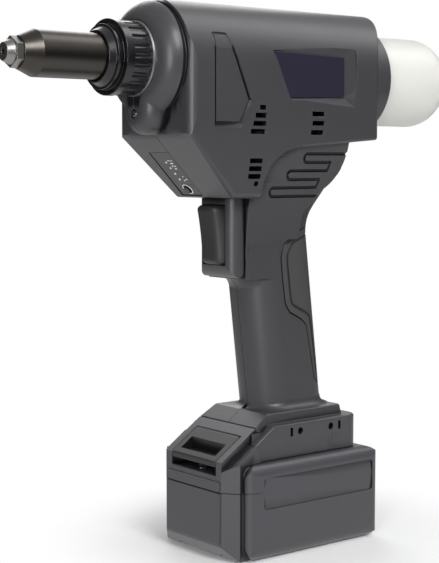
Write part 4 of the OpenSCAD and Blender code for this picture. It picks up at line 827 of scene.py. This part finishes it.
def padCutters(cad):
    tree = meshTree(cad)
    cutters = []
    for side in (1, -1):
        out = padLine["castFrom"]
        hits = [tree.ray_cast(Vector((x * mm, side * out, z * mm)), Vector((0, -side, 0)), out)[0]
                for x, z in smoothPath(padLine["path"], padLine["step"])]
        cutters.append(lineTube([spot for spot in hits if spot is not None], padLine, False))
    return cutters


# the side of the body: upright, with the round crown above and the lean below
def sideSpot(x, z, side, lift=0):
    y = math.sqrt(sideForm["half"] ** 2 - max(0, z - sideForm["crown"]) ** 2) + lift
    y -= max(0, sideForm["leanFrom"] - z) * math.tan(math.radians(sideForm["lean"]))
    return Vector((x, side * y, z)) * mm


def panelCutters(side):
    path = panelLine["path"]
    spots = []
    for first, last in zip(path, path[1:] + path[:1]):
        first, last = Vector(first), Vector(last)
        count = int((last - first).length / panelLine["step"])
        for k in range(count):
            x, z = first.lerp(last, (k + 0.5) / count)
            spots.append(sideSpot(x, z, side))
    bm = bmesh.new()
    sections = []
    for (ix, iz), (ox, oz) in zip(panelBevel["inner"], panelBevel["outer"]):
        low = sideSpot(ix, iz, side, -panelBevel["depth"])
        edge = low + (sideSpot(ox, oz, side) - low) * panelBevel["over"]
        away = side * sideForm["outside"]
        corners = [low, edge, Vector((edge.x, away, edge.z)), Vector((low.x, away, low.z))]
        sections.append([bm.verts.new(c) for c in corners])
    closeRings(bm, sections)
    return [lineTube(spots, panelLine, True), cutterMesh(bm)]


def badgeCutter():
    bm = bmesh.new()
    inner = [Vector((x, badgeFrame["floor"], z)) * mm for x, z in badgeFrame["inner"]]
    outer = [low + (sideSpot(x, z, 1) - low) * badgeFrame["over"]
             for low, (x, z) in zip(inner, badgeFrame["outer"])]
    above = [Vector((p.x, sideForm["outside"], p.z)) for p in outer]
    closeRings(bm, [[bm.verts.new(p) for p in ring] for ring in (inner, outer, above)])
    return cutterMesh(bm)


# the faces of the badge's frame and the plate in it are flat, shaded so and left without painted shade
def onBadgeFrame(face):
    return all(badgeFrame["low"][i] < face.center[i] < badgeFrame["high"][i] for i in range(3))


sideCutters = {"grip_pad": padCutters, "left_housing": lambda cad: panelCutters(1) + [badgeCutter()],
               "right_housing": lambda cad: panelCutters(-1)}


# a copy of the node's mesh with its lines and bevels cut in
def carved(name):
    block = bpy.data.objects.new("carvedCopy", nodes[name].data.copy())
    tools = [bpy.data.objects.new("cutter", mesh) for mesh in sideCutters[name](nodes[name].data)]
    for obj in [block] + tools:
        scene.collection.objects.link(obj)
    for tool in tools:
        cut = block.modifiers.new("cut", "BOOLEAN")
        cut.operation = "DIFFERENCE"
        cut.solver = "EXACT"
        cut.use_self = True
        cut.object = tool
    bpy.context.view_layer.update()
    mesh = bpy.data.meshes.new_from_object(block.evaluated_get(bpy.context.evaluated_depsgraph_get()))
    for obj in [block] + tools:
        used = obj.data
        bpy.data.objects.remove(obj)
        bpy.data.meshes.remove(used)
    return mesh


def edgesInBoxes(source, boxes):
    picked = set()
    for edge in source.edges:
        if len(edge.link_faces) != 2 or edge.calc_face_angle_signed(0) < math.radians(edgeRule["broadTurn"]):
            continue
        ends = [(v.co.x * 1000, abs(v.co.y) * 1000, v.co.z * 1000) for v in edge.verts]
        oneSide = edge.verts[0].co.y * edge.verts[1].co.y > 0
        if any(all(low[i] <= end[i] <= high[i] for end in ends for i in range(3)) and (oneSide or low[1] == 0)
               for low, high in boxes):
            picked.add(edge.index)
    return picked


# bevels the picked edges, leaving out the ones that fold the skin, until none does
def bevelEdges(source, picked, width, steps):
    skin = BVHTree.FromBMesh(source)
    before = foldedSpots(source, skin, width)
    tree, owner = edgeSpots(source, picked)
    for attempt in range(edgeRule["tries"]):
        bm = source.copy()
        bm.edges.ensure_lookup_table()
        chosen = [bm.edges[i] for i in sorted(picked)]
        bmesh.ops.bevel(bm, geom=chosen, offset=width, offset_type="OFFSET", segments=steps, profile=0.5,
                        affect="EDGES", clamp_overlap=False, loop_slide=False)
        bm.normal_update()
        folds = foldedSpots(bm, skin, width, before)
        if not folds or attempt == edgeRule["tries"] - 1:
            break
        reach = width * edgeRule["reach"] * (1 + attempt // edgeRule["widen"])
        picked -= {owner[k] for spot in folds for co, k, far in tree.find_range(spot, reach)}
        bm.free()
    source.free()
    bm.edges.index_update()
    bm.edges.ensure_lookup_table()
    return bm, len(picked), len(folds)


# a moulding has no knife edges: a copy of the node gets its broad rounds, then a small one on each edge that
# can take it
def breakEdges(name, look):
    bm = bmesh.new()
    bm.from_mesh(carved(name) if name in sideCutters else nodes[name].data)
    bmesh.ops.remove_doubles(bm, verts=bm.verts, dist=edgeRule["weld"])
    bmesh.ops.dissolve_degenerate(bm, dist=edgeRule["sliver"], edges=bm.edges)
    if look.get("merged"):
        flat = math.radians(edgeRule["flat"])
        bmesh.ops.dissolve_limit(bm, angle_limit=flat, verts=bm.verts, edges=bm.edges)
    bm.normal_update()
    bm.edges.index_update()
    bm.edges.ensure_lookup_table()
    for broad in look.get("broad", ()):
        wanted = edgesInBoxes(bm, broad["boxes"])
        bm, count, folds = bevelEdges(bm, set(wanted), broad["round"] * mm, edgeRule["broadSteps"])
        print(name, "round", broad["round"], "on", count, "of", len(wanted), "edges, folds left:", folds)
    width = look["round"] * mm
    bm, count, folds = bevelEdges(bm, edgesToBreak(bm, width), width, look["steps"])
    bmesh.ops.triangulate(bm, faces=[f for f in bm.faces if len(f.verts) > 4])
    if look.get("banded"):
        cutSideBand(bm)
        cutChinBand(bm)
    words = name.split("_")
    label = words[0] + "".join(w.capitalize() for w in words[1:]) + "Skin"
    mesh = bpy.data.meshes.new(label)
    bm.to_mesh(mesh)
    bm.free()
    print(label, "edges broken:", count, "folds left:", folds)
    piece = bpy.data.objects.new(label, mesh)
    scene.collection.objects.link(piece)
    mesh.materials.clear()
    mesh.materials.append(nodes[name].data.materials[0])
    mesh.polygons.foreach_set("use_smooth", [True] * len(mesh.polygons))
    blendNormals(mesh, nodes[name].data, look.get("banded", False))
    markCrevices(mesh, nearNeighbours(name))
    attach(piece, body_of(nodes[name])[0])
    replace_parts(piece, name)
    return piece


brokenPieces = {name: breakEdges(name, look) for name, look in brokenEdgeLooks.items()}
print("edges broken on", len(brokenPieces), "pieces")


def addPiece(label, bm, finish, body, sharpFrom=40):
    bmesh.ops.recalc_face_normals(bm, faces=bm.faces)
    mesh = bpy.data.meshes.new(label)
    bm.to_mesh(mesh)
    bm.free()
    mesh.materials.append(finishes[finish])
    mesh.polygons.foreach_set("use_smooth", [True] * len(mesh.polygons))
    mesh.set_sharp_from_angle(angle=math.radians(sharpFrom))
    piece = bpy.data.objects.new(label, mesh)
    scene.collection.objects.link(piece)
    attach(piece, body)
    return piece


# a raised shape: a closed outline lifted to a top that is drawn in a little
def raiseOutline(bm, outline, place, height, shrink):
    middle = sum((Vector((x, y)) for x, y in outline), Vector((0, 0))) / len(outline)
    rings = []
    for level, inset in ((0.0, 0.0), (height * 0.7, 0.0), (height, shrink)):
        ring = []
        for x, y in outline:
            away = Vector((x, y)) - middle
            spot = middle + away * max(0.1, 1 - inset / max(away.length, 1e-6))
            ring.append(bm.verts.new(place(spot.x, spot.y, level)))
        rings.append(ring)
    joinRings(bm, rings)
    bm.faces.new(rings[-1])
    bm.faces.new(list(reversed(rings[0])))


def roundedBar(middle, length, width, steps=6):
    half, r = length / 2 - width / 2, width / 2
    spots = []
    for side in (0, 1):
        for k in range(steps + 1):
            turn = math.pi * (k / steps + side) - math.pi / 2
            spots.append((middle[0] + (half if side == 0 else -half) + r * math.cos(turn),
                          middle[1] + r * math.sin(turn)))
    return spots


# a lip that follows a line: rounded section, flat underside
def raiseLip(bm, line, place, width, height, closed):
    section = [(-0.5, 0.0), (-0.5, 0.5), (-0.3, 0.9), (0.0, 1.0), (0.3, 0.9), (0.5, 0.5), (0.5, 0.0)]
    rings = []
    count = len(line)
    for k, (x, y) in enumerate(line):
        back = line[k - 1] if closed or k else line[0]
        ahead = line[(k + 1) % count] if closed or k < count - 1 else line[-1]
        along = Vector((ahead[0] - back[0], ahead[1] - back[1])).normalized()
        side = Vector((-along.y, along.x))
        taper = 1 if closed else min(1, 0.25 + 1.5 * min(k, count - 1 - k) / count * 2)
        rings.append([bm.verts.new(place(x + side.x * a * width * taper, y + side.y * a * width * taper,
                                         b * height * taper)) for a, b in section])
    for k in range(count if closed else count - 1):
        here, there = rings[k], rings[(k + 1) % count]
        for j in range(len(section)):
            n = (j + 1) % len(section)
            bm.faces.new((here[j], there[j], there[n], here[n]))
    if not closed:
        bm.faces.new(rings[0])
        bm.faces.new(list(reversed(rings[-1])))


# the trigger: a bar with round ends and a shallow hollow for the finger, on its stem
triggerBar = {"back": 0.0340, "low": 0.1610, "high": 0.1940, "frontLow": 0.0434, "frontHigh": 0.0476,
              "half": 0.0094, "corner": 0.0055, "ends": 0.0030, "hollow": 0.0008, "endSteps": 6,
              "midSteps": 12, "cornerSteps": 8, "stemBreak": 0.0004, "stemSink": 0.001,
              "stemFrom": 0.0170, "stemRadius": 0.0030, "stemSides": 32}


def triggerOutline(level, inset):
    part = (level - triggerBar["low"]) / (triggerBar["high"] - triggerBar["low"])
    front = triggerBar["frontLow"] + (triggerBar["frontHigh"] - triggerBar["frontLow"]) * part
    front -= triggerBar["hollow"] * 4 * part * (1 - part) + inset
    half = triggerBar["half"] - inset
    corner = triggerBar["corner"] - inset * 0.5
    spots = [(triggerBar["back"], -half)]
    for side in (-1, 1):
        for k in range(triggerBar["cornerSteps"] + 1):
            turn = math.radians((90 * k / triggerBar["cornerSteps"]) + (-90 if side < 0 else 0))
            spots.append((front - corner + corner * math.cos(turn),
                          side * (half - corner) + corner * math.sin(turn)))
    return spots + [(triggerBar["back"], half)]


def triggerLevels():
    low, high, ends = triggerBar["low"], triggerBar["high"], triggerBar["ends"]
    turns = [math.pi / 2 * k / triggerBar["endSteps"] for k in range(triggerBar["endSteps"] + 1)]
    bottom = [(low + ends * (1 - math.cos(t)), ends * (1 - math.sin(t))) for t in turns]
    middle = [(low + ends + (high - low - 2 * ends) * k / triggerBar["midSteps"], 0.0)
              for k in range(1, triggerBar["midSteps"])]
    return bottom + middle + [(high + low - level, inset) for level, inset in reversed(bottom)]


def makeTrigger():
    bm = bmesh.new()
    closeRings(bm, [[bm.verts.new((x, y, level)) for x, y in triggerOutline(level, inset)]
                    for level, inset in triggerLevels()])
    middle = (triggerBar["low"] + triggerBar["high"]) / 2
    turns = [2 * math.pi * k / triggerBar["stemSides"] for k in range(triggerBar["stemSides"])]
    radius = triggerBar["stemRadius"]
    start, cut = triggerBar["stemFrom"], triggerBar["stemBreak"]
    end = triggerBar["back"] + triggerBar["stemSink"]
    stem = ((start, radius - cut), (start + cut, radius), (end, radius))
    closeRings(bm, [[bm.verts.new((x, r * math.cos(t), middle + r * math.sin(t))) for t in turns]
                    for x, r in stem])
    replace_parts(addPiece("triggerBar", bm, "darkPlastic", "trigger"), "trigger")


makeTrigger()

# the control face: u runs down the slope, v across it
panelFace = {"middle": (0.0595, -0.0095, 0.2110), "sink": 0.0003, "button": 0.012, "ring": 0.0034,
             "ringWidth": 0.0006, "ringSteps": 48, "drawnIn": 0.00005,
             "bars": [(-0.0102, 0.0030, 0.0022), (-0.0102, 0.0056, 0.0012), (-0.0060, 0.0030, 0.0016),
                      (-0.0060, 0.0054, 0.0016), (0.0020, 0.0048, 0.0010), (0.0042, 0.0060, 0.0016),
                      (0.0052, 0.0034, 0.0010), (-0.0081, 0.0042, 0.0028), (-0.0040, 0.0042, 0.0020)],
             "barWidth": 0.0007, "height": 0.00012}


def onPanel(u, v, lift):
    down = Vector((-math.sqrt(0.5), 0, -math.sqrt(0.5)))
    out = Vector((math.sqrt(0.5), 0, -math.sqrt(0.5)))
    return Vector(panelFace["middle"]) + down * u + Vector((0, v, 0)) + out * (lift - panelFace["sink"])


def panelMarks():
    bm = bmesh.new()
    for u, v, length in panelFace["bars"]:
        outline = [(a, b) for b, a in roundedBar((v, u), length, panelFace["barWidth"])]
        raiseOutline(bm, outline, onPanel, panelFace["height"], panelFace["drawnIn"])
    steps = panelFace["ringSteps"]
    circle = [(panelFace["button"] + panelFace["ring"] * math.cos(2 * math.pi * k / steps),
               panelFace["ring"] * math.sin(2 * math.pi * k / steps)) for k in range(steps)]
    raiseLip(bm, circle, onPanel, panelFace["ringWidth"], panelFace["height"] * 2, True)
    addPiece("panelMarks", bm, "whiteGuide", "tool")


panelMarks()

# two raised arcs on the side of the foot, beside its holes
footArcs = {"y": 0.0310, "z": 0.0590, "xs": (-0.0222, -0.0254), "radius": 0.0033, "from": 65, "to": 295,
            "steps": 22, "width": 0.0007, "height": 0.00035}


def onFootSide(x, z, lift):
    return Vector((-x, footArcs["y"] + lift, z))


def raisedArcs():
    bm = bmesh.new()
    for x in footArcs["xs"]:
        line = []
        for k in range(footArcs["steps"] + 1):
            swing = (footArcs["to"] - footArcs["from"]) * k / footArcs["steps"]
            turn = math.radians(footArcs["from"] + swing)
            line.append((-x + footArcs["radius"] * math.cos(turn),
                         footArcs["z"] + footArcs["radius"] * math.sin(turn)))
        raiseLip(bm, line, onFootSide, footArcs["width"], footArcs["height"], False)
    addPiece("footArcs", bm, "shell", "tool")


raisedArcs()

# raised plate on the front of the battery, in two halves either side of the parting line
frontPlate = {"x": 0.0548, "half": 0.0242, "levels": ((0.0095, 0.0376), (0.0384, 0.0440)), "corner": 0.0016,
              "height": 0.0006, "drawnIn": 0.0003, "sharpFrom": 12}


def onPackFront(y, z, lift):
    return Vector((frontPlate["x"] + lift, y, z))


def plateOutline(half, low, high, corner, steps=4):
    spots = []
    for cx, cz, start in ((half, high, 0), (-half, high, 90), (-half, low, 180), (half, low, 270)):
        for k in range(steps + 1):
            turn = math.radians(start + 90 * k / steps)
            x = cx - math.copysign(corner, cx) + corner * math.cos(turn)
            z = (cz - corner if start < 180 else cz + corner) + corner * math.sin(turn)
            spots.append((x, z))
    return spots


def packPlate():
    bm = bmesh.new()
    for low, high in frontPlate["levels"]:
        outline = plateOutline(frontPlate["half"], low, high, frontPlate["corner"])
        raiseOutline(bm, outline, onPackFront, frontPlate["height"], frontPlate["drawnIn"])
    addPiece("packFrontPlate", bm, "packShell", "battery", frontPlate["sharpFrom"])


packPlate()
print("small pieces added")


floorLook = {"colour": (0.88, 0.88, 0.88, 1), "middle": (-0.015, 0, 0), "near": 0.05, "far": 0.15, "half": 6,
             "level": -0.0006, "rough": 0.9, "specular": 0.1, "shineFrom": 0.35, "shineTo": 1.0,
             "shineNear": 0.9, "shineFar": 0.05}


# near the tool the floor keeps its shadow, further out it runs into the white page
def paleFloor():
    mesh = bpy.data.meshes.new("paleFloor")
    half, level = floorLook["half"], floorLook["level"]
    corners = [(x * half, y * half, level) for x, y in ((-1, -1), (1, -1), (1, 1), (-1, 1))]
    mesh.from_pydata(corners, [], [(0, 1, 2, 3)])
    floor = bpy.data.objects.new("paleFloor", mesh)
    scene.collection.objects.link(floor)
    mat, tree, bsdf = newMaterial("paleFloor")
    setSockets(bsdf, {"Base Color": floorLook["colour"], "Roughness": floorLook["rough"],
               "Specular IOR Level": floorLook["specular"]})
    where = addNode(tree, "ShaderNodeTexCoord")
    reach = addNode(tree, "ShaderNodeVectorMath", operation="DISTANCE")
    wire(tree, where.outputs["Object"], reach.inputs[0])
    reach.inputs[1].default_value = floorLook["middle"]
    camera, shine = seenRays(tree)
    page = addNode(tree, "ShaderNodeEmission")
    page.inputs["Color"].default_value = (1, 1, 1, 1)
    fade = rampBetween(tree, reach.outputs["Value"], floorLook["shineFrom"], floorLook["shineTo"],
                       floorLook["shineNear"], floorLook["shineFar"])
    wire(tree, mixValues(tree, camera, fade, 1.0), page.inputs["Strength"])
    ring = rampBetween(tree, reach.outputs["Value"], floorLook["near"], floorLook["far"], 0.0, 1.0)
    far = addNode(tree, "ShaderNodeMath", operation="MULTIPLY")
    wire(tree, camera, far.inputs[0])
    wire(tree, ring, far.inputs[1])
    seen = addNode(tree, "ShaderNodeMath", operation="MAXIMUM")
    wire(tree, far.outputs[0], seen.inputs[0])
    wire(tree, shine, seen.inputs[1])
    mix = addNode(tree, "ShaderNodeMixShader")
    wire(tree, seen.outputs[0], mix.inputs[0])
    wire(tree, bsdf.outputs[0], mix.inputs[1])
    wire(tree, page.outputs[0], mix.inputs[2])
    wire(tree, mix.outputs[0], tree.nodes["Material Output"].inputs["Surface"])
    mesh.materials.append(mat)


paleFloor()
